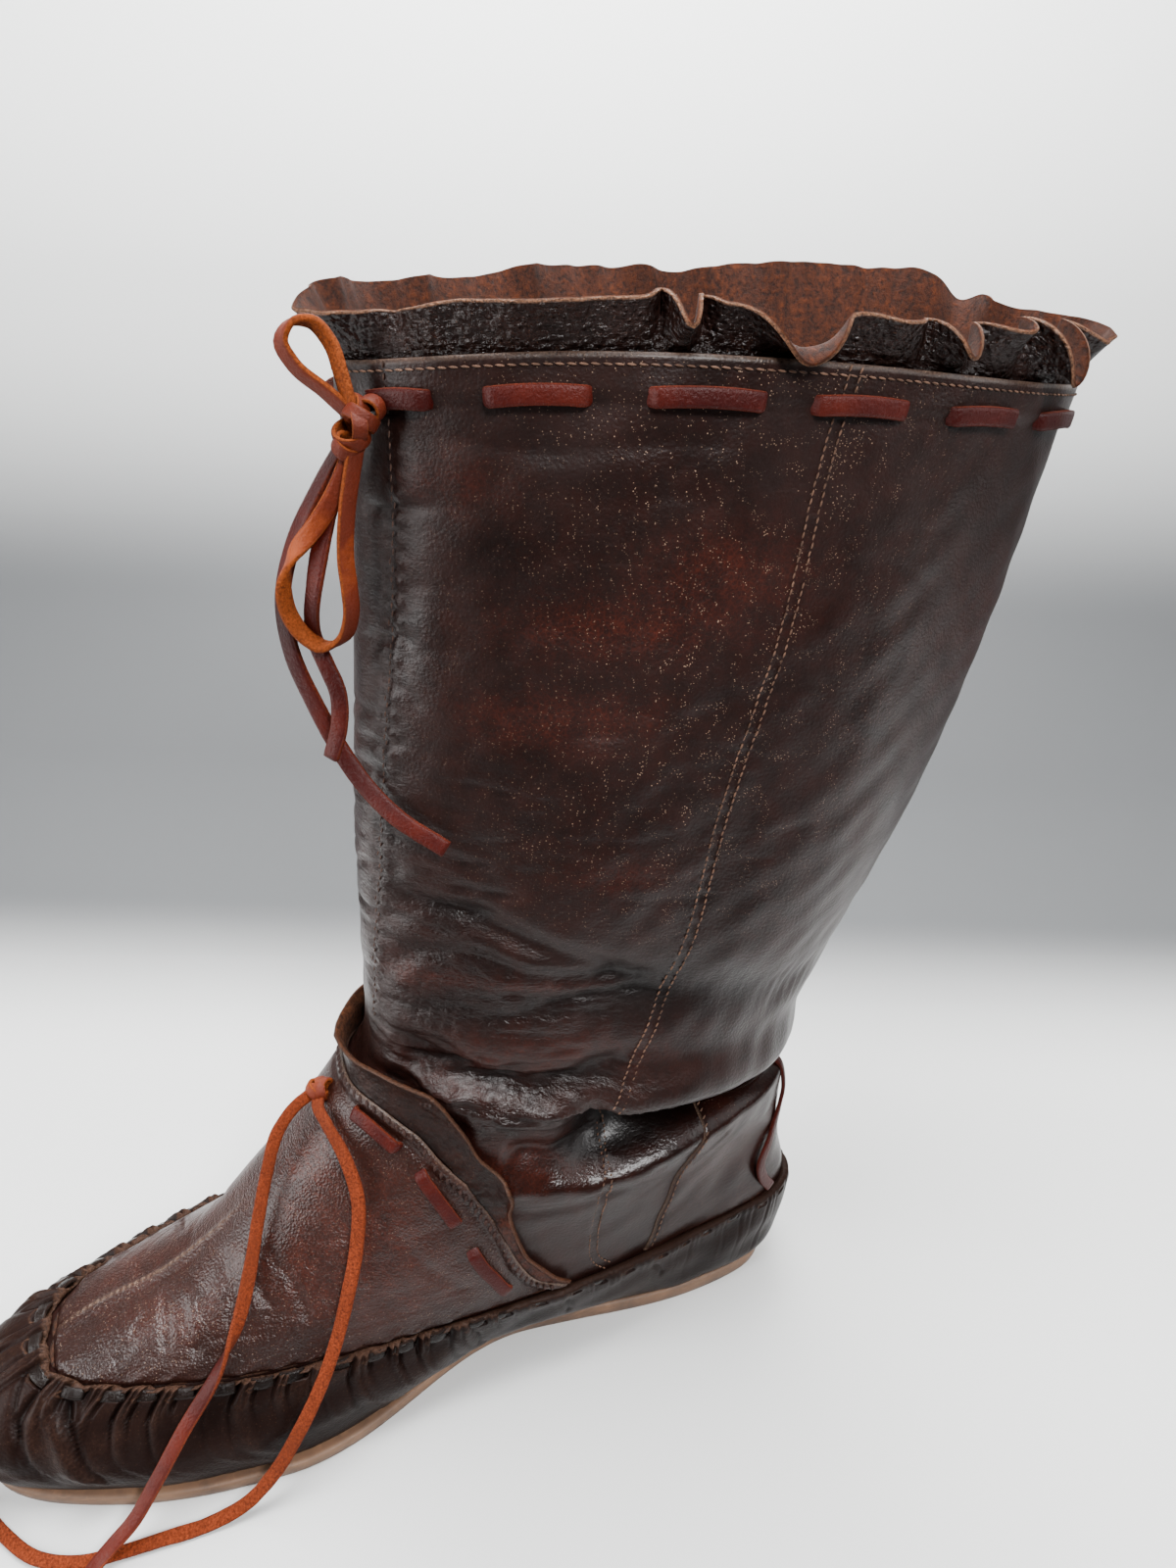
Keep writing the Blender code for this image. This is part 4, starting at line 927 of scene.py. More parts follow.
vamp_outer = vamp_points + vamp_normal * (VAMP_LIFT + vamp_bump * MM)[..., None]
vamp_inner = vamp_points + vamp_normal * 0.3 * MM
vamp_marks = {
    "rub": 0.9 * patches(vamp_around, vamp_level, VAMP_RUBS),
    # Painted shade: crease darkens the trough along the seam and the vamp's creases.
    "crease": np.clip(-0.25 * vamp_bump - 0.12, 0, 0.7),
    "edge": (0.15 * np.exp(-(to_throat / 0.6) ** 2)
             + 0.30 * crease(vamp_points, VAMP_CREASES[0][2], 0.6, 1.0)),
    "speck": 0.35 + 0.3 * patches(vamp_around, vamp_level, ((0.47, 5.2, 0.05, 0.8, 1.0),)),
    "crumple": 0.10 * patches(vamp_around, vamp_level, VAMP_RUBS),
}
VAMP_BROWN = (0.0100, 0.0032, 0.0022)
VAMP_RUBBED = (0.031, 0.0064, 0.0034)
vamp_leather = leather("vamp_leather", VAMP_BROWN, VAMP_RUBBED, PALE_WEAR, pebble_scale=1500.0, pebble=0.7,
                       wrinkle=0.05, bump=0.44, rough=(0.28, 0.39), coat=0.0, shine_level=0.25)
vamp = add_wall("vamp_leather_plug", vamp_outer, vamp_inner, False, vamp_leather, vamp_marks)
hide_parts("vamp")

# Throat cuff: the free margin of the vamp above its thong. The thin pebbled leather lies up against
# the ankle, lifts at its raw edge, buckles into one pleat and tapers into the seam.
CUFF_THICK = 1.1 * MM
CUFF_AROUND = 460
# Rows of around, level of the rim and lift.
CUFF = (
    (0.197, 4.55, 0.8),
    (0.229, 5.55, 1.4),
    (0.263, 6.36, 1.8),
    (0.290, 6.98, 2.4),
    (0.299, 7.30, 5.2),
    (0.306, 7.45, 5.8),
    (0.314, 7.60, 3.6),
    (0.324, 7.74, 2.4),
    (0.345, 8.05, 2.4),
    (0.362, 8.55, 2.6),
    (0.378, 9.05, 3.0),
    (0.408, 9.85, 3.6),
    (0.447, 10.00, 4.6),
    (0.485, 9.60, 6.4),
    (0.500, 9.45, 7.0),
)


def face_normals(points, ring):
    """Unit normals of a net of points, away from the last where rows climb it."""
    if ring:
        across = np.roll(points, -1, axis=1) - np.roll(points, 1, axis=1)
    else:
        across = np.gradient(points, axis=1)
    return unit(np.cross(np.gradient(points, axis=0), across))


cuff_around = np.linspace(*THROAT_ENDS, CUFF_AROUND)[None, :]
cuff_share = np.linspace(0, 1, 24)[:, None]
cuff_rim, cuff_lift = table_at(CUFF, near_side(cuff_around))
cuff_ripple = waves(cuff_around * GIRTH, 0 * cuff_around, 51, 8, 22.0)
cuff_edge = throat_edge(cuff_around)
cuff_level = cuff_edge + (cuff_rim + 0.04 * cuff_ripple - cuff_edge) * cuff_share
cuff_turn = np.broadcast_to(cuff_around, cuff_level.shape)
cuff_bow = 1.4 + 4.0 * smooth((0.310 - near_side(cuff_around)) / 0.02)
cuff_rise = 0.8 + (cuff_lift + 0.3 * cuff_ripple) * cuff_share ** cuff_bow
cuff_rise = np.maximum(cuff_rise, upper_relief(cuff_turn, cuff_level)[0] + 0.8)
cuff_inner = form(cuff_turn, cuff_level) + outward(cuff_turn, cuff_level) * (cuff_rise * MM)[..., None]
cuff_outer = cuff_inner + face_normals(cuff_inner, False) * CUFF_THICK
cuff_rows = cuff_share + 0 * cuff_around
cuff_marks = {
    "rub": 0.10 + 0.7 * smooth((0.312 - near_side(cuff_around)) / 0.03) + 0 * cuff_rows,
    # Painted shade: crease darkens the cuff along its root at the vamp's edge, under the lifted strip.
    "crease": 0.5 * np.exp(-(cuff_rows / 0.12) ** 2),
    "edge": 0.30 * smooth((cuff_rows - 0.95) / 0.05),
    "speck": 0.35 + 0 * cuff_rows,
    "crumple": 0.1 + 0 * cuff_rows,
}
CUFF_BROWN = (0.0062, 0.0031, 0.0026)
CUFF_RUBBED = (0.034, 0.0088, 0.0046)
CUFF_WORN = (0.15, 0.075, 0.045)
cuff_leather = leather("cuff_leather", CUFF_BROWN, CUFF_RUBBED, CUFF_WORN, pebble_scale=700.0, pebble=1.0,
                       wrinkle=0.1, bump=0.5, rough=(0.34, 0.46), shine_level=0.09)
cuff = add_wall("throat_cuff_leather", cuff_outer, cuff_inner, False, cuff_leather,
                cuff_marks, {"edge": cuff_marks["edge"]})
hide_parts("throat_cuff")

# Collar ruffle: a gathered strip of thin leather sewn inside the hem, with its raw edge up. It is
# dark and pebbled outside, brown suede inside, and stands, leans and droops in uneven folds.
RUFFLE_LEAN = 20.0
RUFFLE_CURL = 8.0
# Rows of around and width.
RUFFLE_WIDTH = (
    (0.00, 16.5), (0.03, 15.5), (0.07, 14.0), (0.13, 13.5), (0.17, 10.5), (0.21, 11.0), (0.25, 11.5),
    (0.29, 10.5), (0.32, 11.5), (0.37, 11.2), (0.41, 11.0), (0.447, 9.0), (0.48, 13.0), (0.52, 15.8),
    (0.60, 15.2), (0.65, 17.2), (0.70, 20.0), (0.76, 19.0), (0.80, 23.5), (0.86, 25.0), (0.90, 25.5),
    (0.93, 22.5), (0.96, 17.2), (1.00, 16.5),
)
# Rows of around, half-width, lean and curl; the angles add to the usual ones.
RUFFLE_FOLDS = (
    (0.030, 0.018, 10, 0),
    (0.066, 0.012, 16, 10),
    (0.090, 0.007, -26, 0),
    (0.106, 0.008, 28, 95),
    (0.123, 0.006, -24, 0),
    (0.140, 0.010, 8, 10),
    (0.160, 0.006, -26, 0),
    (0.176, 0.007, 24, 50),
    (0.192, 0.006, -18, 0),
    (0.212, 0.014, 6, 0),
    (0.262, 0.017, 20, 105),
    (0.290, 0.008, -10, 10),
    (0.306, 0.005, -30, 0),
    (0.315, 0.0045, 36, 0),
    (0.325, 0.005, -28, 0),
    (0.370, 0.030, 4, 0),
    (0.420, 0.014, -8, 0),
    (0.447, 0.012, -30, 0),
    (0.485, 0.024, 14, 6),
    (0.535, 0.012, -14, 0),
    (0.570, 0.014, 4, 0),
    (0.598, 0.010, -14, 0),
    (0.630, 0.018, 4, 0),
    (0.662, 0.010, -16, 0),
    (0.700, 0.024, 2, 0),
    (0.735, 0.008, -16, 0),
    (0.770, 0.010, -14, 0),
    (0.805, 0.020, 0, 0),
    (0.850, 0.028, -6, 0),
    (0.905, 0.012, -12, 10),
    (0.932, 0.008, 8, 20),
    (0.950, 0.010, -16, 0),
    (0.975, 0.010, -6, 0),
)
RUFFLE_THICK = 0.9 * MM
RUFFLE_INSIDE = 2.6 * MM
RUFFLE_DEPTH = 0.12
RUFFLE_AROUND = 1000
HEM_GIRTH = 456


def standing_strip(base, up, out, width, lean, bend, rows):
    """Strip that leaves its base at a lean and bends on by a curl: the angle grows along its width.

    Each point is the sum of small steps, cosine of the angle along up and sine along out.
    """
    share = (np.arange(rows) + 0.5) / rows
    angle = np.radians(lean + bend * share[:, None] ** 1.3)
    step = (width / rows * MM)[None, :, None]
    steps = step * (np.cos(angle)[..., None] * up + np.sin(angle)[..., None] * out)
    return np.concatenate([base[None], base[None] + np.cumsum(steps, axis=0)])


ruffle_around = np.arange(RUFFLE_AROUND) / RUFFLE_AROUND
fold_rows = np.array(RUFFLE_FOLDS)
fold_away = (ruffle_around[None, :] - fold_rows[:, :1] + 0.5) % 1 - 0.5
fold_bell = np.exp(-(fold_away / fold_rows[:, 1:2]) ** 2)
ruffle_lean = RUFFLE_LEAN + (fold_rows[:, 2:3] * fold_bell).sum(0)
ruffle_curl = RUFFLE_CURL + (fold_rows[:, 3:4] * fold_bell).sum(0)
ruffle_width = table_at(RUFFLE_WIDTH, ruffle_around)[0]
ruffle_ripple = waves(ruffle_around * HEM_GIRTH, 0 * ruffle_around, 61, 10, 7.0)
hem_place = form(ruffle_around, LEVELS) - outward(ruffle_around, LEVELS) * RUFFLE_INSIDE
hem_out = unit(outward(ruffle_around, LEVELS) * (1, 1, 0))
hem_up = np.broadcast_to((0.0, 0.0, 1.0), hem_out.shape)
tucked = form(ruffle_around, LEVELS - RUFFLE_DEPTH) - outward(ruffle_around, LEVELS) * RUFFLE_INSIDE
strip = standing_strip(hem_place, hem_up, hem_out, ruffle_width + 0.25 * ruffle_ripple,
                       ruffle_lean + 3 * ruffle_ripple, ruffle_curl, 20)
ruffle_inner = np.concatenate([tucked[None], strip])
ruffle_outer = ruffle_inner + face_normals(ruffle_inner, True) * RUFFLE_THICK
ruffle_rows = np.linspace(0, 1, len(ruffle_outer))[:, None] + 0 * ruffle_around[None, :]
ruffle_marks = {
    "rub": 0.08 + 0 * ruffle_rows,
    # Painted shade: crease darkens the ruffle's foot where it goes down inside the hem.
    "crease": 0.6 * np.exp(-(ruffle_rows / 0.18) ** 2),
    "edge": smooth((ruffle_rows - 0.95) / 0.05),
    "speck": 0.25 + 0 * ruffle_rows,
    "crumple": 0.1 + 0 * ruffle_rows,
}
RUFFLE_BROWN = (0.0052, 0.0024, 0.0020)
RUFFLE_RUBBED = (0.026, 0.0080, 0.0048)
RUFFLE_WORN = (0.17, 0.078, 0.040)
RUFFLE_SUEDE = (0.040, 0.0080, 0.0008)
ruffle_leather = leather("ruffle_leather", RUFFLE_BROWN, RUFFLE_RUBBED, RUFFLE_WORN, pebble_scale=800.0,
                         pebble=1.5, wrinkle=0.06, bump=0.85, rough=(0.17, 0.27), suede=RUFFLE_SUEDE,
                         coat=0.0, shine_level=0.17)
collar = add_wall("collar_ruffle_leather", ruffle_outer, ruffle_inner, True, ruffle_leather,
                  ruffle_marks, {"edge": ruffle_marks["edge"]})
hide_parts("collar_ruffle")

# Stitches: waxed tan thread in lockstitch, a row under the hem and pairs of rows beside the side seams,
# one row of dark thread beside the front seam, single rows at the counter, and brown knots that bind the
# throat.
THREAD_TAN = (0.105, 0.056, 0.036)
THREAD_DARK = (0.055, 0.030, 0.022)
KNOT_BROWN = (0.024, 0.010, 0.0075)


def thread(name, colour):
    """Waxed thread: twisted strands across each stitch and a little grime."""
    made, tree, shader = new_finish(name)
    spot = put(tree, "TexCoord").outputs["Object"]
    grime = put(tree, "TexNoise", {"Vector": spot, "Scale": 260.0, "Detail": 3.0})
    tone = blend_colours(tree, spread(tree, grime.outputs["Fac"], 0.35, 0.65), times(0.4, colour), colour)
    tree.links.new(tone, shader.inputs["Base Color"])
    shader.inputs["Roughness"].default_value = 0.6
    shader.inputs["Specular IOR Level"].default_value = 0.15
    twist = put(tree, "TexWave", {"Vector": spot, "Scale": 900.0, "Distortion": 1.0})
    bump = put(tree, "Bump", {"Height": twist.outputs["Fac"], "Strength": 0.4, "Distance": 0.2 * MM})
    tree.links.new(bump.outputs[0], shader.inputs["Normal"])
    return made


def capsules(name, middles, along, normal, length, radius, finish):
    """Joined grains, one for each place: a round profile that swells from end to end of each."""
    sides, rings = 6, 5
    turn = 2 * np.pi * np.arange(sides) / sides
    way = np.linspace(-1, 1, rings)
    girth = np.sqrt(np.clip(1.04 - way ** 2, 0.02, 1))
    local = np.stack(np.broadcast_arrays(way[:, None] * length / 2, girth[:, None] * np.cos(turn) * radius,
                                         girth[:, None] * np.sin(turn) * radius), -1).reshape(-1, 3)
    across = np.cross(normal, along)
    points = (middles[:, None] + local[None, :, :1] * along[:, None] + local[None, :, 1:2] * across[:, None]
              + local[None, :, 2:] * normal[:, None])
    one = net_faces(rings, sides, False, True)[:, ::-1]
    caps = np.array([[0, 1, 2, 5], [2, 3, 4, 5], [0, 5, 2, 1], [2, 5, 4, 3]])
    caps[2:] += (rings - 1) * sides
    one = np.concatenate([one, caps])
    faces = (one[None] + (np.arange(len(middles)) * rings * sides)[:, None, None]).reshape(-1, 4)
    return add_piece(name, points, faces, finish)


def stitch_row(places, surface, pitch, shift=0.0, slant=0.12):
    """Middles, directions and normals of stitches evenly along a line of (around, level) pairs.

    The line is moved sideways by shift mm; surface gives the points that carry the thread.
    """
    turn, level = even_places(places, 400)
    line = surface(turn, level)
    normal = outward(turn, level)
    along = unit(np.gradient(line, axis=0))
    side = np.cross(along, normal)
    line = line + side * shift * MM
    run = run_along(line)
    spots = np.arange(pitch * MM / 2, run[-1], pitch * MM)
    read = [np.stack([np.interp(spots, run, values[:, k]) for k in range(3)], -1)
            for values in (line, along, normal, side)]
    return read[0], unit(read[1] + slant * read[3]), unit(read[2])


def on_upper(around, level):
    """The worn upper's surface, just proud of it."""
    return upper_face(around, level, np.full(np.shape(around), 0.25 * MM))


def on_counter(around, level):
    """The counter's surface, just proud of it."""
    return upper_face(around, level, np.full(np.shape(around), 1.05 * MM))


def add_stitches(name, rows, length, radius, finish):
    """One joined piece of several rows of stitches."""
    middles, along, normal = (np.concatenate(part) for part in zip(*rows))
    along = unit(along - normal * (along * normal).sum(-1, keepdims=True))
    return capsules(name, middles, along, normal, length * MM, radius * MM, finish)


tan_thread = thread("tan_thread", THREAD_TAN)
dark_thread = thread("dark_thread", THREAD_DARK)
hem_line = tuple((a, LEVELS - 0.040) for a in np.linspace(0.002, 0.998, 60))
add_stitches("hem_stitches", [stitch_row(hem_line, on_upper, 2.4)], 1.9, 0.27, tan_thread)
side_rows = []
for seam in (SIDE_SEAM, SIDE_SEAM_LOW):
    for line in (seam, mirrored(seam)):
        side_rows += [stitch_row(line, on_upper, 1.9, shift) for shift in (-1.35, 1.35)]
add_stitches("side_seam_stitches", side_rows, 1.5, 0.27, tan_thread)
front_rows = [stitch_row(FRONT_SEAM[:-1], on_upper, 2.4, 1.5)]
add_stitches("front_seam_stitches", front_rows, 1.6, 0.22, dark_thread)
counter_line = tuple((a - 0.003, l) for a, l in COUNTER_EDGE)
counter_rows = [stitch_row(line, on_counter, 2.4) for line in (counter_line, mirrored(counter_line))]
add_stitches("counter_stitches", counter_rows, 1.7, 0.24, tan_thread)


def on_vamp(around, level):
    """The vamp's rolled edge at the throat."""
    return form(around, level) + outward(around, level) * (VAMP_LIFT + 0.75 * MM)


knot_around = np.linspace(THROAT_ENDS[0] + 0.01, THROAT_ENDS[1] - 0.01, 90)
knot_line = tuple(zip(knot_around, throat_edge(knot_around) - 0.10))
knot_thread = thread("knot_thread", KNOT_BROWN)
add_stitches("throat_edge_knots", [stitch_row(knot_line, on_vamp, 2.7, 0.0, 1.2)], 2.4, 0.62, knot_thread)

# Gathering thong: one dark thong run along the seam through slits in the gathered wall, so a short
# flat length of it shows in every slit and draws the pleats together.
SEAM_THONG_DARK = (0.0060, 0.0036, 0.0030)
SEAM_THONG_EDGE = (0.020, 0.009, 0.006)
SEAM_THONG_WIDTH = 3.2 * MM
SEAM_THONG_THICK = 1.3 * MM


def thong_leather(name, face, nap, rough=0.42, wear=0.5):
    """Thong: smooth dyed face and fuzzy suede back and edges, told apart by the mark suede."""
    made, tree, shader = new_finish(name)
    skin = put(tree, "Group", {"Pebble Scale": 1300.0, "Pebble Height": 0.3, "Wrinkle Height": 0.25},
               node_tree=SKIN)
    place = put(tree, "TexCoord").outputs["Object"]
    fibre = put(tree, "TexNoise", {"Vector": place, "Scale": 1500.0, "Detail": 6.0, "Roughness": 0.7})
    cloud = skin.outputs["Cloud"]
    rubbed = sums(tree, "MULTIPLY", spread(tree, cloud, 0.5, 0.95), wear)
    tone = blend_colours(tree, spread(tree, cloud, 0.2, 0.8), times(0.55, face), face)
    tone = blend_colours(tree, rubbed, tone, nap)
    fuzz = blend_colours(tree, spread(tree, fibre.outputs["Fac"], 0.35, 0.68), times(0.22, nap), nap)
    fuzz = blend_colours(tree, spread(tree, cloud, 0.25, 0.75, 0.6, 0.0), fuzz, times(0.3, nap))
    fuzzy = mark(tree, "suede")
    tree.links.new(blend_colours(tree, fuzzy, tone, fuzz), shader.inputs["Base Color"])
    tree.links.new(spread(tree, fuzzy, 0.0, 1.0, rough, 0.95), shader.inputs["Roughness"])
    shader.inputs["Specular IOR Level"].default_value = 0.12
    hairy = sums(tree, "MULTIPLY", fibre.outputs["Fac"], spread(tree, fuzzy, 0.0, 1.0, 0.25, 1.6))
    height = sums(tree, "ADD", hairy, skin.outputs["Height"])
    bump = put(tree, "Bump", {"Height": height, "Strength": 0.8, "Distance": 0.5 * MM})
    tree.links.new(bump.outputs[0], shader.inputs["Normal"])
    return made


STRAP_SIDES = 12
STRAP_TURN = 2 * np.pi * (np.arange(STRAP_SIDES) + 0.5) / STRAP_SIDES
STRAP_SUEDE = smooth((0.62 - np.sin(STRAP_TURN)) / 0.3)


def strap_points(path, face, width, thick):
    """Flat strap: a rounded oblong profile carried along a path, its smooth side towards face."""
    flat = np.sign(np.cos(STRAP_TURN)) * np.abs(np.cos(STRAP_TURN)) ** 0.45 / 2
    deep = np.sign(np.sin(STRAP_TURN)) * np.abs(np.sin(STRAP_TURN)) ** 0.55 / 2
    along = unit(np.gradient(path, axis=0))
    face = unit(face - along * (face * along).sum(-1, keepdims=True))
    side = np.cross(along, face)
    width = np.broadcast_to(width, len(path))[:, None, None]
    thick = np.broadcast_to(thick, len(path))[:, None, None]
    across = flat[None, :, None] * width * side[:, None]
    return path[:, None] + across + deep[None, :, None] * thick * face[:, None]


def strap_faces(count):
    """Faces of one strap of a number of rows, its two ends closed."""
    faces = net_faces(count, STRAP_SIDES, False, True)
    k = np.arange(STRAP_SIDES // 2 - 1)
    start = np.stack([k, k + 1, STRAP_SIDES - 2 - k, STRAP_SIDES - 1 - k], -1)
    end = start[:, ::-1] + (count - 1) * STRAP_SIDES
    return np.concatenate([faces, start, end])


def add_straps(name, straps, finish):
    """One piece of several straps, each given by its net of points."""
    points = np.concatenate([net.reshape(-1, 3) for net in straps])
    start = np.cumsum([0] + [net.shape[0] * STRAP_SIDES for net in straps])
    faces = np.concatenate([strap_faces(len(net)) + s for net, s in zip(straps, start)])
    suede = np.concatenate([np.tile(STRAP_SUEDE, len(net)) for net in straps])
    return add_piece(name, points, faces, finish, {"suede": suede})


whip_turn = np.interp((np.arange(WHIPS) + whip_jitter[:-1]) / WHIPS * seam_run[-1], seam_run, seam_turn)
slit_share = np.linspace(-1, 1, 14)
seam_thongs = []
for place in whip_turn:
    tight = float(gather(place))
    per_level = (climb(place, LIP_LEVEL) - climb(place, 3.7)) / (LIP_LEVEL - 3.7)
    turn = place + slit_share * (2.2 + 0.9 * tight) / seam_run[-1]
    level = LIP_LEVEL - (1.4 + 1.2 * tight + 0.25 * whip_rng.uniform(-1, 1) * slit_share) / per_level
    arch = 1.3 + 0.6 * tight + 0.9 * (1 - slit_share ** 2)
    path = form(turn, level) + outward(turn, level) * (arch * MM)[:, None]
    shrink = (0.45 + 0.55 * tight) * whip_rng.uniform(0.9, 1.1)
    seam_thongs.append(strap_points(path, outward(turn, level), SEAM_THONG_WIDTH * shrink, SEAM_THONG_THICK))
seam_leather = thong_leather("seam_thong_leather", SEAM_THONG_DARK, SEAM_THONG_EDGE, 0.22, 0.05)
add_straps("gathering_thong", seam_thongs, seam_leather)

# Thong of the collar: a flat red-brown thong laced through slits under the hem, so thirteen bars
# show, and tied at the front in a bow of two loops and two free ends.
THONG_WIDTH = 4.4 * MM
THONG_THICK = 1.7 * MM
THONG_RED = (0.032, 0.0026, 0.0018)
THONG_RED_NAP = (0.13, 0.019, 0.006)
THONG_TAN = (0.095, 0.0135, 0.0045)
THONG_ORANGE = (0.27, 0.056, 0.0095)
SHAFT_BARS = 13
SHAFT_BAR_AROUND = 0.3785
SHAFT_BAR_SHARE = 0.70
SHAFT_THONG_LEVEL = 13.85
KNOT_AROUND = 0.461
thong_red = thong_leather("red_thong", THONG_RED, THONG_RED_NAP, 0.40, 0.20)
thong_orange = thong_leather("orange_thong", THONG_TAN, THONG_ORANGE, 0.5, 0.6)
bar_share = np.linspace(-1, 1, 36)
bar_rng = np.random.default_rng(71)
bars = []
for k in range(SHAFT_BARS):
    centre = SHAFT_BAR_AROUND + k / SHAFT_BARS
    reach = 0.5 * SHAFT_BAR_SHARE / SHAFT_BARS * bar_rng.uniform(0.92, 1.08)
    high = KNOT_AROUND if abs(centre - KNOT_AROUND) < reach else centre + reach
    turn = ((centre - reach + high) / 2 + bar_share * (high - centre + reach) / 2) % 1
    level = SHAFT_THONG_LEVEL + 0.012 * (1 - bar_share ** 2) + 0.008 * bar_rng.uniform(-1, 1) * bar_share
    sink = smooth((np.abs(bar_share) - 0.80) / 0.2)
    path = upper_face(turn, level, (1.5 - 3.4 * sink) * MM)
    bars.append(strap_points(path, outward(turn, level), THONG_WIDTH * (1 - 0.15 * sink), THONG_THICK))
collar_thong = add_straps("collar_thong_bars", bars, thong_red)
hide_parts("shaft_thong")

# Routes are rows of x, y, z from the last's own origin and the turn of the smooth face in degrees.
BOW_LOOP_UPPER = (
    (-19.8, 1.0, 289.0, 0), (-17.6, 6.4, 294.0, 0), (-16.2, 12.4, 299.2, 0), (-15.6, 14.4, 303.6, 0),
    (-15.8, 12.0, 307.0, 0), (-16.4, 8.2, 307.2, 0), (-17.4, 4.8, 303.4, 0), (-18.9, 3.2, 297.8, 0),
    (-20.4, 1.8, 291.0, 0),
)
BOW_LOOP_LOWER = (
    (-21.6, 1.4, 284.0, -135), (-19.9, 5.6, 274.4, -135), (-17.7, 11.2, 265.8, -120),
    (-16.0, 16.3, 259.2, -60), (-15.3, 18.5, 252.6, -10), (-15.3, 17.6, 245.8, 0),
    (-16.0, 14.7, 241.2, 0), (-17.2, 11.0, 239.0, 0), (-18.8, 6.4, 241.4, 0), (-19.8, 4.6, 246.6, 0),
    (-20.2, 4.6, 253.0, 0), (-20.8, 5.0, 259.0, 0), (-22.2, 4.2, 270.0, 0), (-22.6, 1.6, 283.0, 0),
)
BOW_END_LONG = (
    (-16.6, 2.6, 284.6, 40), (-15.0, 4.6, 281.4, 40), (-12.0, 9.4, 273.0, 40), (-10.4, 15.0, 262.0, 35),
    (-9.6, 18.8, 248.0, 35), (-9.6, 18.0, 236.0, 30), (-10.0, 13.6, 222.0, 25), (-11.6, 9.4, 212.0, 10),
    (-16.4, 4.4, 203.5, 0), (-24.2, -2.6, 196.8, 5), (-31.4, -13.2, 190.4, 10),
)
BOW_END_SHORT = (
    (-19.0, 2.6, 281.0, 20), (-16.6, 7.4, 270.0, 20), (-17.0, 10.2, 260.5, 20), (-17.6, 12.0, 253.0, 25),
    (-16.0, 13.0, 246.0, 25), (-13.6, 12.6, 239.6, 20), (-14.8, 10.6, 233.6, 15), (-16.6, 8.6, 227.4, 10),
    (-17.2, 8.9, 219.4, 10), (-17.0, 11.4, 211.0, 20),
)
TOWARDS_VIEWER = np.array((-0.855, 0.275, 0.438))
UPPER_LOOP_AXIS = np.array((0.81, 0.47, -0.31))
LOWER_LOOP_AXIS = np.array((-0.51, 0.90, -0.19))
ROUTE_STEP = 1.2


def path_length(path):
    """Whole length along a path."""
    return float(np.linalg.norm(np.diff(path, axis=0), axis=1).sum())


def route_frame(route, axis=None):
    """Even path of a given route in metres, and the way its smooth face looks.

    The face looks to the viewer's side, or square to an axis along which the strap is wide, and
    is then turned about the path by each row's angle.
    """
    rows = np.array(route, float)
    rows = resample(rows, int(path_length(rows[:, :3]) / ROUTE_STEP) + 8)
    path = rows[:, :3] * MM - ORIGIN
    along = unit(np.gradient(path, axis=0))
    if axis is None:
        face = unit(TOWARDS_VIEWER - along * (along @ TOWARDS_VIEWER)[:, None])
    else:
        face = unit(np.cross(along, axis))
    side = np.cross(along, face)
    angle = np.radians(rows[:, 3])[:, None]
    return path, np.cos(angle) * face + np.sin(angle) * side


def add_thong_cord(name, frame_of_path, node, finish, width=THONG_WIDTH, thick=THONG_THICK):
    """Free thong along its path, standing for its own solid."""
    path, face = frame_of_path
    rng = np.random.default_rng(len(name))
    uneven = 1 + 0.07 * np.cumsum(rng.normal(0, 0.2, len(path))).clip(-1, 1)
    made = add_straps(name, [strap_points(path, face, width * uneven, thick)], finish)
    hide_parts(node)
    return made


add_thong_cord("bow_loop_upper_thong", route_frame(BOW_LOOP_UPPER, UPPER_LOOP_AXIS), "bow_loop_upper",
               thong_orange)
add_thong_cord("bow_loop_lower_thong", route_frame(BOW_LOOP_LOWER, LOWER_LOOP_AXIS), "bow_loop_lower",
               thong_orange)
add_thong_cord("bow_end_long_thong", route_frame(BOW_END_LONG), "bow_end_long",
               thong_red)
add_thong_cord("bow_end_short_thong", route_frame(BOW_END_SHORT), "bow_end_short",
               thong_red)
BOW_KNOT = np.array((-20.5, 1.4, 287.5))
KNOT_THICK = 1.2 * MM
# Wraps of a knot are rows of x, y, z off its centre, radius, squash, tilt and roll.
BOW_KNOT_WRAPS = (
    (0.0, -1.6, 1.6, 3.9, 0.85, 25, 20),
    (0.2, 0.6, -1.8, 3.7, 0.90, -25, -15),
    (-0.4, -0.6, 0.4, 4.1, 0.75, 80, 15),
    (-0.8, -3.6, 3.4, 2.5, 0.90, 55, 60),
    (-0.4, 1.8, -4.0, 2.7, 0.90, 15, -20),
    (0.4, -0.8, 3.6, 2.6, 0.80, 110, 35),
)


def knot_wraps(centre, wraps, width):
    """Straps wound into a knot: each an ellipse off the centre, tilted by its own two angles."""
    turn = np.linspace(0, 2 * np.pi, 40)
    straps = []
    for x, y, z, radius, squash, tilt, roll in wraps:
        ring = np.stack([np.cos(turn), np.sin(turn) * squash, 0.25 * np.sin(turn + 1)], -1) * radius * MM
        tip = np.array(Matrix.Rotation(np.radians(tilt), 3, "X") @ Matrix.Rotation(np.radians(roll), 3, "Y"))
        out = ring @ tip.T
        straps.append(strap_points((centre + (x, y, z)) * MM - ORIGIN + out, out, width, KNOT_THICK))
    return straps


bow_knot = add_straps("bow_knot_thong", knot_wraps(BOW_KNOT, BOW_KNOT_WRAPS, 3.2 * MM), thong_orange)
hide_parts("bow_knot")

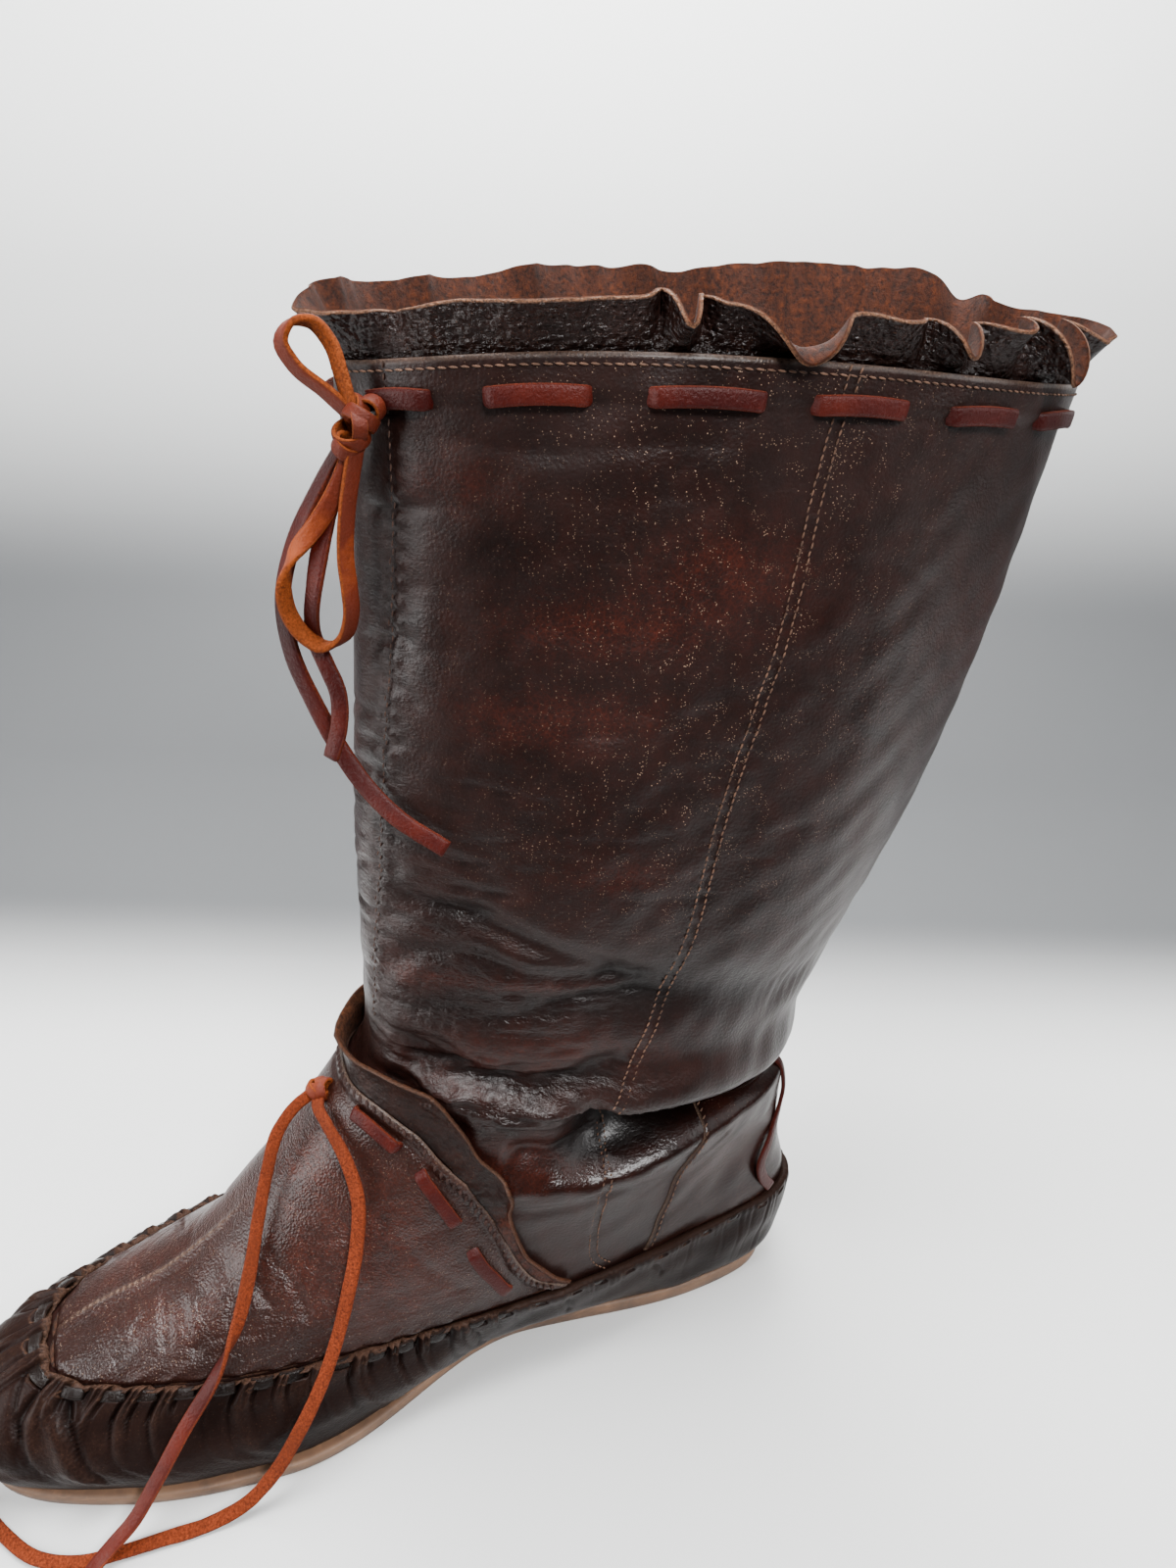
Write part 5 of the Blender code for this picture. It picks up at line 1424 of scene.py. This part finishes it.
# Thong of the throat: laced along the vamp's edge, so three bars show on each side, knotted at the
# front and left with two long ends that fall over the foot and lie on the floor.
THROAT_BARS = ((0.244, 0.304), (0.326, 0.383), (0.406, 0.456))
throat_bars = []
for side in (-1, 1):
    for low, high in THROAT_BARS:
        place = (low + high) / 2 + bar_share * (high - low) / 2
        turn = place if side < 0 else 1 - place
        level = table_at(THROAT, place)[1]
        sink = smooth((np.abs(bar_share) - 0.82) / 0.18)
        lift = VAMP_LIFT + (1.2 - 2.6 * sink) * MM
        path = form(turn, level) + outward(turn, level) * lift[:, None]
        width = 0.9 * THONG_WIDTH * (1 - 0.15 * sink)
        throat_bars.append(strap_points(path, outward(turn, level), width, THONG_THICK))
throat_thong = add_straps("throat_thong_bars", throat_bars, thong_red)
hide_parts("throat_thong")
THROAT_END_FRONT = (
    (-2.8, 23.6, 98.6, 180), (-5.4, 29.0, 96.8, 180), (-8.8, 34.4, 92.0, 170), (-14.2, 38.6, 83.0, 165),
    (-22.0, 42.6, 72.0, 165), (-30.4, 46.4, 61.0, 160), (-38.2, 50.8, 51.5, 130), (-45.6, 57.6, 42.8, 40),
    (-51.4, 66.6, 33.0, 15), (-55.6, 75.6, 20.0, 20), (-58.4, 83.0, 10.0, 25), (-60.6, 88.4, 6.2, 30),
    (-65.0, 93.6, 4.6, 40), (-71.0, 97.4, 2.8, 50), (-80.0, 100.4, 1.9, 60), (-92.0, 101.6, 1.9, 60),
)
THROAT_END_SIDE = (
    (-3.4, 22.0, 98.6, 180), (-8.4, 22.8, 98.0, 190), (-15.4, 21.0, 96.8, 200), (-24.2, 17.4, 92.4, 195),
    (-31.0, 15.0, 82.6, 190), (-36.4, 16.6, 70.4, 185), (-41.4, 20.4, 58.0, 185), (-46.0, 25.0, 45.6, 180),
    (-50.4, 30.4, 35.0, 180), (-54.6, 37.6, 24.0, 180), (-57.0, 45.6, 12.6, 185), (-58.0, 54.0, 4.6, 200),
    (-59.0, 64.0, 1.9, 220), (-59.6, 76.0, 1.9, 230), (-60.0, 86.0, 1.9, 235), (-59.6, 97.0, 1.9, 235),
    (-55.6, 107.6, 1.9, 235), (-46.0, 117.6, 1.9, 235), (-33.6, 126.4, 1.9, 235),
)
THONG_END_FACE = (0.040, 0.0040, 0.0024)
THONG_END_NAP = (0.20, 0.033, 0.0085)
thong_end = thong_leather("throat_end_leather", THONG_END_FACE, THONG_END_NAP, 0.45, 0.12)
add_thong_cord("throat_end_front_thong", route_frame(THROAT_END_FRONT), "throat_end_front",
               thong_end, 0.85 * THONG_WIDTH)
add_thong_cord("throat_end_side_thong", route_frame(THROAT_END_SIDE), "throat_end_side",
               thong_end, 0.85 * THONG_WIDTH)
THROAT_KNOT = np.array((-2.6, 22.0, 98.9))
THROAT_KNOT_WRAPS = (
    (0.0, 0.4, 0.0, 3.3, 0.85, 20, 15),
    (-0.3, -0.6, 0.3, 3.4, 0.80, 75, 10),
    (0.0, 1.0, -0.6, 2.8, 0.85, 35, 65),
    (-0.6, -1.8, 1.2, 2.2, 0.90, 60, -30),
)
throat_wraps = knot_wraps(THROAT_KNOT, THROAT_KNOT_WRAPS, 2.8 * MM)
throat_knot = add_straps("throat_knot_thong", throat_wraps, thong_orange)
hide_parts("throat_knot")

# Heel thong: a short thong let through the counter at the back of the heel, with a bar under the
# fold and a loop and a tail below its slit.
HEEL_RED = (0.034, 0.0030, 0.0020)
HEEL_NAP = (0.085, 0.0105, 0.0050)
# Rows of around, level and lift.
HEEL_THONG = (
    (0.036, 8.70, 0.2), (0.036, 8.30, 1.9), (0.037, 7.60, 2.2), (0.038, 6.95, 2.0), (0.044, 6.65, 1.5),
    (0.056, 6.40, 2.4), (0.064, 6.00, 2.6), (0.060, 5.45, 2.4), (0.050, 4.70, 2.2),
)


def heel_frame(rows):
    """Even path over the counter through rows of (around, level, lift), its face outwards."""
    rows = np.array(rows)
    points = upper_face(rows[:, 0], rows[:, 1], rows[:, 2] * MM)
    even = resample(np.column_stack([points, rows]), 60)
    return even[:, :3], outward(even[:, 3], even[:, 4])


heel_red = thong_leather("heel_thong_leather", HEEL_RED, HEEL_NAP, 0.40, 0.25)
add_thong_cord("heel_thong_strap", heel_frame(HEEL_THONG), "heel_thong", heel_red,
               0.8 * THONG_WIDTH, 0.8 * THONG_THICK)

# Insole: thin leather board under the foot, cemented to the sole and darkened by wear. Its solid is
# shown as it is, in leather of its own.
insole_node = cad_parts["insole"]
INSOLE_TAN = (0.13, 0.07, 0.045)
INSOLE_WORN = (0.16, 0.08, 0.05)
insole_leather = leather("insole_leather", INSOLE_TAN, INSOLE_WORN, PALE_WEAR, rough=(0.6, 0.8), coat=0.0)
insole_node.data.materials.clear()
insole_node.data.materials.append(insole_leather)

# Outsole: thin tan rubber cemented under the gathered leather, with a plain worn edge. It lifts at
# the waist and springs up at the toe.
RUBBER_TAN = (0.14, 0.072, 0.038)
RUBBER_DIRT = (0.060, 0.033, 0.020)
FEATHER_BACK = -123
FEATHER_LENGTH = 244


def rubber(name, tan, dirt):
    """Matt rubber: grime that gathers in patches, fine scuffs along the edge."""
    made, tree, shader = new_finish(name)
    spot = put(tree, "TexCoord").outputs["Object"]
    grime = put(tree, "TexNoise", {"Vector": spot, "Scale": 60.0, "Detail": 6.0, "Roughness": 0.65})
    scuff_spot = put(tree, "Mapping", {"Vector": spot, "Scale": (300.0, 300.0, 1500.0)})
    scuff = put(tree, "TexNoise", {"Vector": scuff_spot.outputs[0], "Scale": 1.0, "Detail": 4.0})
    tone = blend_colours(tree, spread(tree, grime.outputs["Fac"], 0.35, 0.65), dirt, tan)
    scuffed = spread(tree, scuff.outputs["Fac"], 0.55, 0.75, 0.0, 0.5)
    tone = blend_colours(tree, scuffed, tone, times(1.5, tan))
    tree.links.new(tone, shader.inputs["Base Color"])
    shader.inputs["Roughness"].default_value = 0.62
    bump = put(tree, "Bump", {"Height": scuff.outputs["Fac"], "Strength": 0.3, "Distance": 0.3 * MM})
    tree.links.new(bump.outputs[0], shader.inputs["Normal"])
    return made


def sole_rim(around, out, rise):
    """Ring of the sole: the feather line moved out level by a length, at a share of the thickness."""
    rim = form(around, 0)
    out_level = unit(outward(around, 1.2) * (1, 1, 0))
    low, high = sole_heights(((rim + ORIGIN)[..., 1] / MM - FEATHER_BACK) / FEATHER_LENGTH)
    rim = rim + out_level * out * MM
    rim[..., 2] = low + (high - low) * rise
    return rim


# Points of the edge: length out from the feather line and share of the thickness.
SOLE_PROFILE = ((0.5, 0.0), (1.8, 0.02), (2.5, 0.12), (2.7, 0.5), (2.8, 0.88), (2.4, 0.98), (1.4, 1.0))
SOLE_AROUND = 360
sole_around = (np.arange(SOLE_AROUND) + 0.5) / SOLE_AROUND
sole_points = np.stack([sole_rim(sole_around, out, rise) for out, rise in SOLE_PROFILE])
half = np.arange(SOLE_AROUND // 2 - 1)
bottom = np.stack([half, half + 1, SOLE_AROUND - 2 - half, SOLE_AROUND - 1 - half], -1)
top = bottom[:, ::-1] + (len(SOLE_PROFILE) - 1) * SOLE_AROUND
sole_faces = np.concatenate([net_faces(len(SOLE_PROFILE), SOLE_AROUND, False, True), bottom, top])
sole_rubber = rubber("tan_rubber_sole", RUBBER_TAN, RUBBER_DIRT)
sole = add_piece("outsole_rubber", sole_points, sole_faces, sole_rubber)
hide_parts("outsole")

# Floor and light: a seamless paper sweep, pale but painted in bands of light and shade: painted shade
# near-black towards the viewer and in a band just behind the boot, and the top of the backdrop painted
# paler than the floor, partly as painted light. Soft lights stand overhead, at the toe, at the heel and
# beside the viewer, and one more lights the backdrop.
FLOOR_PALE = (0.50, 0.503, 0.50)
# The grey band and the near-black front of the paper are painted shade; the top's paleness is partly painted
# light.
SWEEP_PAINTED_SHADE = (0.060, 0.062, 0.065)
SWEEP_PALE_AND_PAINTED_LIGHT = (0.92, 0.93, 0.92)
FLOOR_DIM = (0.045, 0.046, 0.047)
FLOOR_FRONT_FADE = (-0.26, -0.12)
PAINTED_SHADE_FADE = (0.10, 0.24)
SWEEP_FADE = (0.66, 1.26)
SWEEP_DEPTH = 0.42
SWEEP_HEIGHT = 1.6
SWEEP_RADIUS = 0.30
SWEEP_REACH = 2.0
SWEEP_FRONT = 0.9
VIEW_YAW = -0.310810552


def sweep():
    """Floor that curves up into a backdrop: straight, quarter circle, straight, along the view, painted in
    bands of shade.
    """
    bend = np.linspace(0, np.pi / 2, 24)
    curve = SWEEP_DEPTH + SWEEP_RADIUS * np.sin(bend)
    out = np.concatenate([[-SWEEP_FRONT], curve, [SWEEP_DEPTH + SWEEP_RADIUS]])
    up = np.concatenate([[0], SWEEP_RADIUS * (1 - np.cos(bend)), [SWEEP_HEIGHT]])
    away = np.array((np.cos(VIEW_YAW), np.sin(VIEW_YAW), 0))
    side = np.array((-away[1], away[0], 0))
    line = out[:, None] * away + up[:, None] * (0, 0, 1)
    points = np.stack([line - side * SWEEP_REACH, line + side * SWEEP_REACH], axis=1)
    mesh = bpy.data.meshes.new("sweep")
    mesh.from_pydata(points.reshape(-1, 3), [], net_faces(len(line), 2, False, False)[:, ::-1].tolist())
    mesh.shade_smooth()
    paper, tree, shader = new_finish("paper_painted_light_and_shade")
    spot = put(tree, "SeparateXYZ", {0: put(tree, "TexCoord").outputs["Object"]})
    along_x = sums(tree, "MULTIPLY", spot.outputs[0], float(away[0]))
    along_y = sums(tree, "MULTIPLY", spot.outputs[1], float(away[1]))
    run = sums(tree, "ADD", sums(tree, "ADD", along_x, along_y), spot.outputs[2])
    # Painted shade: the floor goes near-black towards the viewer, standing for the unlit room on that side.
    tone = blend_colours(tree, spread(tree, run, *FLOOR_FRONT_FADE, way="SMOOTHSTEP"), FLOOR_DIM, FLOOR_PALE)
    # Painted shade: a near-black band on the floor just behind the boot and up the curve, where the light
    # falls off.
    tone = blend_colours(tree, spread(tree, run, *PAINTED_SHADE_FADE, way="SMOOTHSTEP"), tone, SWEEP_PAINTED_SHADE)
    # The top of the backdrop is paler than the floor: the paper's pale colour, partly painted light.
    tone = blend_colours(tree, spread(tree, run, *SWEEP_FADE, way="SMOOTHSTEP"), tone, SWEEP_PALE_AND_PAINTED_LIGHT)
    tree.links.new(tone, shader.inputs["Base Color"])
    shader.inputs["Roughness"].default_value = 0.6
    mesh.materials.append(paper)
    made = bpy.data.objects.new("sweep", mesh)
    bpy.context.scene.collection.objects.link(made)


def placed(side, up, back, place):
    """Matrix of an object from its three axes and its place."""
    axes = np.stack([side, up, back], 1)
    return Matrix([(*row, p) for row, p in zip(axes, place)] + [(0, 0, 0, 1)])


def soft_light(name, place, target, size, power):
    """Square soft light at a place, turned to a target."""
    lamp = bpy.data.lights.new(name, "AREA")
    lamp.size = size
    lamp.energy = power
    made = bpy.data.objects.new(name, lamp)
    back = unit(np.array(place, float) - np.array(target, float))
    side = unit(np.cross((0.0, 0.01, 1.0), back))
    made.matrix_world = placed(side, np.cross(back, side), back, place)
    bpy.context.scene.collection.objects.link(made)


# Rows of name, place, target, size in metres and power in watts.
SOFT_LIGHTS = (
    ("overhead_softbox", (-0.05, 0.05, 1.05), (0.0, 0.0, 0.0), 0.42, 27.0),
    ("toe_softbox", (-0.10, 0.95, 0.36), (-0.02, 0.06, 0.05), 0.7, 19.0),
    ("heel_softbox", (-0.45, -0.80, 0.70), (0.0, -0.05, 0.2), 0.7, 8.5),
    ("viewer_softbox", (-0.70, -0.05, 0.74), (0.0, 0.0, 0.12), 0.18, 14.0),
    ("backdrop_softbox", (0.45, -0.15, 1.15), (0.70, -0.22, 0.70), 0.5, 26.0),
)

sweep()
for light in SOFT_LIGHTS:
    soft_light(*light)
world = bpy.data.worlds.new("studio")
world.use_nodes = True
world.node_tree.nodes["Background"].inputs["Color"].default_value = (0.80, 0.82, 0.85, 1)
world.node_tree.nodes["Background"].inputs["Strength"].default_value = 0.14
bpy.context.scene.world = world

# Camera: at the photo's place and tilt, with its focal length in pixels of a 1200 by 1600 image.
# Yaw, pitch and roll turn it from level and facing along +X.
VIEW_PLACE = np.array((-260.106, 24.811, 320.954)) * MM - ORIGIN
VIEW_PITCH = 0.453422034
VIEW_ROLL = 0.0303678748
FOCAL_PIXELS = 1109
FRAME_PIXELS = 1600
SENSOR = 36.0
level_reach = np.cos(VIEW_PITCH)
ahead = np.array((np.cos(VIEW_YAW) * level_reach, np.sin(VIEW_YAW) * level_reach, -np.sin(VIEW_PITCH)))
level_side = unit(np.cross(ahead, (0, 0, 1)))
level_up = np.cross(level_side, ahead)
view_side = np.cos(VIEW_ROLL) * level_side + np.sin(VIEW_ROLL) * level_up
view_up = -np.sin(VIEW_ROLL) * level_side + np.cos(VIEW_ROLL) * level_up
lens = bpy.data.cameras.new("view")
lens.sensor_fit = "AUTO"
lens.sensor_width = SENSOR
lens.lens = FOCAL_PIXELS / FRAME_PIXELS * SENSOR
lens.clip_start = 0.01
view = bpy.data.objects.new("view", lens)
view.matrix_world = placed(view_side, view_up, -ahead, VIEW_PLACE)
bpy.context.scene.collection.objects.link(view)
bpy.context.scene.camera = view
